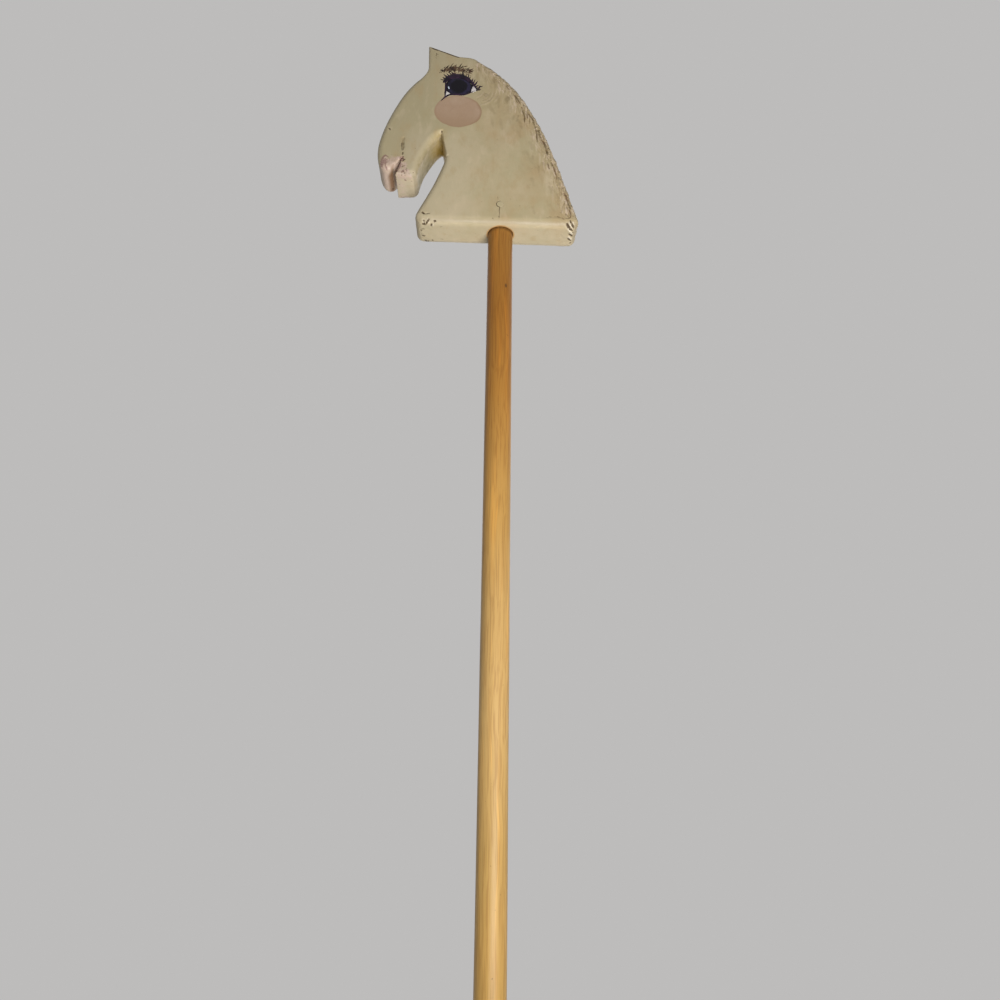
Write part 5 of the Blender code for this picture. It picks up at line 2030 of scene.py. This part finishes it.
def build_wood_streaks():
    """Fine streaks and wide bands of grain along Z, as a share and a height."""
    group, given, out = start_group(
        "wood_streaks",
        [("Place", "vector"), ("Fineness", "value", 900.0)],
        [("Streak", "value"), ("Band", "value"), ("Height", "value")],
    )
    bent = bent_place(given.outputs["Place"], 9.0, 2.0, (0.012, 0.012, 0.0))
    streak = cloud(bent, given.outputs["Fineness"], stretch=(1.0, 1.0, 0.018))
    band = cloud(bent, 170.0, detail=2.0, stretch=(1.0, 1.0, 0.035))
    pores = cloud(bent, 1500.0, detail=1.0, stretch=(1.0, 1.0, 0.05))
    height = times_plus(step_between(pores, 0.60, 0.72), -0.5, streak)
    feed(out, Streak=streak, Band=band, Height=height)
    return group


def varnish_finish():
    """Tone by height, partly painted shade near the head, streaks and bands of grain, a knot, dirt at the
    ends, and a coat.
    """
    made, shader, place = start_material(
        "amber_varnished_wood", Specular_IOR_Level=0.25, Coat_Weight=0.08, Coat_Roughness=0.25
    )
    tree = made.node_tree
    z = along_axis(place, "Z")
    level = times_plus(swing(place, 11.0, detail=2.0), 0.05, z)
    ramp = add_node(tree, "ShaderNodeValToRGB", Fac=level)
    stops = ramp.color_ramp.elements
    while len(stops) < len(POLE_TONES_AND_SHADE):
        stops.new(0.5)
    for stop, (height, tone) in zip(stops, POLE_TONES_AND_SHADE):
        stop.position = height
        stop.color = tone
    wood = use_group(tree, wood_streaks, Place=place, Fineness=900.0).outputs
    dark = times(step_between(wood["Streak"], 0.44, 0.64), 0.34)
    base = blend_colour(dark, ramp.outputs["Color"], STREAK_BROWN, "MULTIPLY")
    pale = times(step_between(wood["Band"], 0.50, 0.72), 0.30)
    base = blend_colour(pale, base, BAND_PALE, "OVERLAY")
    knot_place = tuple(around_axis(POLE_RADIUS, math.radians(KNOT[0]), KNOT[1]) * MM)
    reach = from_centre(place, knot_place, (1.0, 1.0, 0.55))[1]
    knot = times(step_between(reach, 0.0016, 0.0006), 0.75)
    base = blend_colour(knot, base, KNOT_BROWN)
    foot = times(step_between(z, 0.030, 0.001), 0.55)
    under_head = times(step_between(z, BASE_HEIGHT - 0.006, BASE_HEIGHT), 0.5)
    dirt = use_group(
        tree, ingrained_dirt, Place=place, Colour=base, Dirt=POLE_GRIME,
        Mask=largest(foot, under_head), Speck_Amount=0.7,
    ).outputs
    rough = times_plus(wood["Streak"], 0.20, 0.30)
    rough = times_plus(dirt["Dirt Share"], 0.25, rough)
    feed(shader, Base_Color=dirt["Colour"], Roughness=rough)
    bump = add_node(tree, "ShaderNodeBump", Strength=0.25, Distance=0.0003, Height=wood["Height"])
    feed(shader, Normal=bump.outputs[0])
    return made


wood_streaks = build_wood_streaks()
pole.data.materials.clear()
pole.data.materials.append(varnish_finish())
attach(pole, BODY)
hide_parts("pole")
print("pole finish ready")

# %% [markdown]
# ## Plug over the screw
# The screw's head is hidden under a plug of filler that was sanded flush and painted
# over. With the years it shrank away from the wood on its left side, so the crack there
# shows as half a ring. Its rim is a function of the angle: it touches the hole's wall,
# and draws back where the crack is.

# %% Plug
CRACK_MIDDLE = 205.0
CRACK_HALF = 75.0
CRACK_WIDE = 0.55
PLUG_RADIUS = SCREW_STEPS[0][0]
PLUG_PROFILE = [
    (0.5, -PLUG_THICK), (1.0, -PLUG_THICK), (1.0, -0.7), (1.0, -0.16),
    (0.96, -0.02), (0.75, 0.03), (0.45, 0.05), (0.2, 0.05),
]


def plug_arrays(around=72):
    """Rings from the buried end to the middle of the sanded end. The rim's radius is the
    hole's, less the crack's width round its middle angle."""
    turn = np.linspace(0.0, 2 * np.pi, around, endpoint=False)
    off = np.abs((np.degrees(turn) - CRACK_MIDDLE + 180.0) % 360.0 - 180.0)
    drawn_back = CRACK_WIDE * (1.0 - smooth_step(off, CRACK_HALF - 25.0, CRACK_HALF))
    rim_radius = PLUG_RADIUS + FIT_GAP + 0.03 - drawn_back
    rim_radius = rim_radius + 0.10 * np.sin(turn * 5.0) * (off < CRACK_HALF)
    share, out = np.array(PLUG_PROFILE).T
    rim = rim_radius[:, None] * directions(turn)
    flat = np.array(SCREW_PLACE) + share[:, None, None] * rim
    flat = np.vstack([flat.reshape(-1, 2), SCREW_PLACE, SCREW_PLACE])
    out = np.concatenate([np.repeat(out, around), [-PLUG_THICK, 0.05]])
    base = np.stack([flat[:, 0], np.full(len(flat), -HALF_THICK), flat[:, 1]], axis=1)
    waves = 0.16 * soft_noise(base, 26.0, 3) + 0.06 * soft_noise(base, 9.0, 4)
    base[:, 1] -= out + np.where(out > -0.2, waves, 0.0)
    return to_metres(base), ring_faces(len(share), around)


def plug_finish():
    """The head's cream over filler: duller, a little greyer, dark at the crack."""
    made, shader, place = start_material("painted_plug")
    base = clouded(place, CREAM, CREAM_OLIVE, 60.0, 500.0, 0.4)
    away, reach = from_centre(place, head_spot(SCREW_PLACE), (1.0, 0.0, 1.0))
    left = step_between(along_axis(away, "X"), 0.0010, -0.0008)
    crack = times(step_between(reach, 0.0028, 0.0033), left)
    clouded_dirt(shader, place, base, GRIME, crack, 0.4, (0.12, 0.48))
    add_paint_bump(shader, place, 0.3)
    return made


plug = make_piece("screw_plug", *plug_arrays(), plug_finish())
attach(plug, BODY)
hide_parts("screw_filler")
print("plug:", len(plug.data.polygons), "faces")

# %% [markdown]
# ## The screw
# The screw itself is hidden, but the model can be taken apart, so it has a finish too:
# zinc-plated steel, bright where the driver and the thread rubbed it, dull in between.
# Its solid stays as it is and only takes the new material.

# %% Screw finish
ZINC = colour(0.62, 0.62, 0.60)
ZINC_DULL = colour(0.42, 0.42, 0.41)
ZINC_DIRT = colour(0.12, 0.10, 0.08)


def zinc_finish():
    """Cloudy zinc, brighter and smoother in places, with dirt specks."""
    made, shader, place = start_material("zinc_plated_steel", Metallic=1.0)
    base = clouded(place, ZINC, ZINC_DULL, 300.0, 1800.0, 0.5)
    clouded_dirt(shader, place, base, ZINC_DIRT, 0.0, 0.8, (0.25, 0.28))
    return made


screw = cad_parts["locking_screw"]
screw_material = zinc_finish()
for index in range(len(screw.material_slots)):
    screw.material_slots[index].material = screw_material
print("screw slots:", len(screw.material_slots))
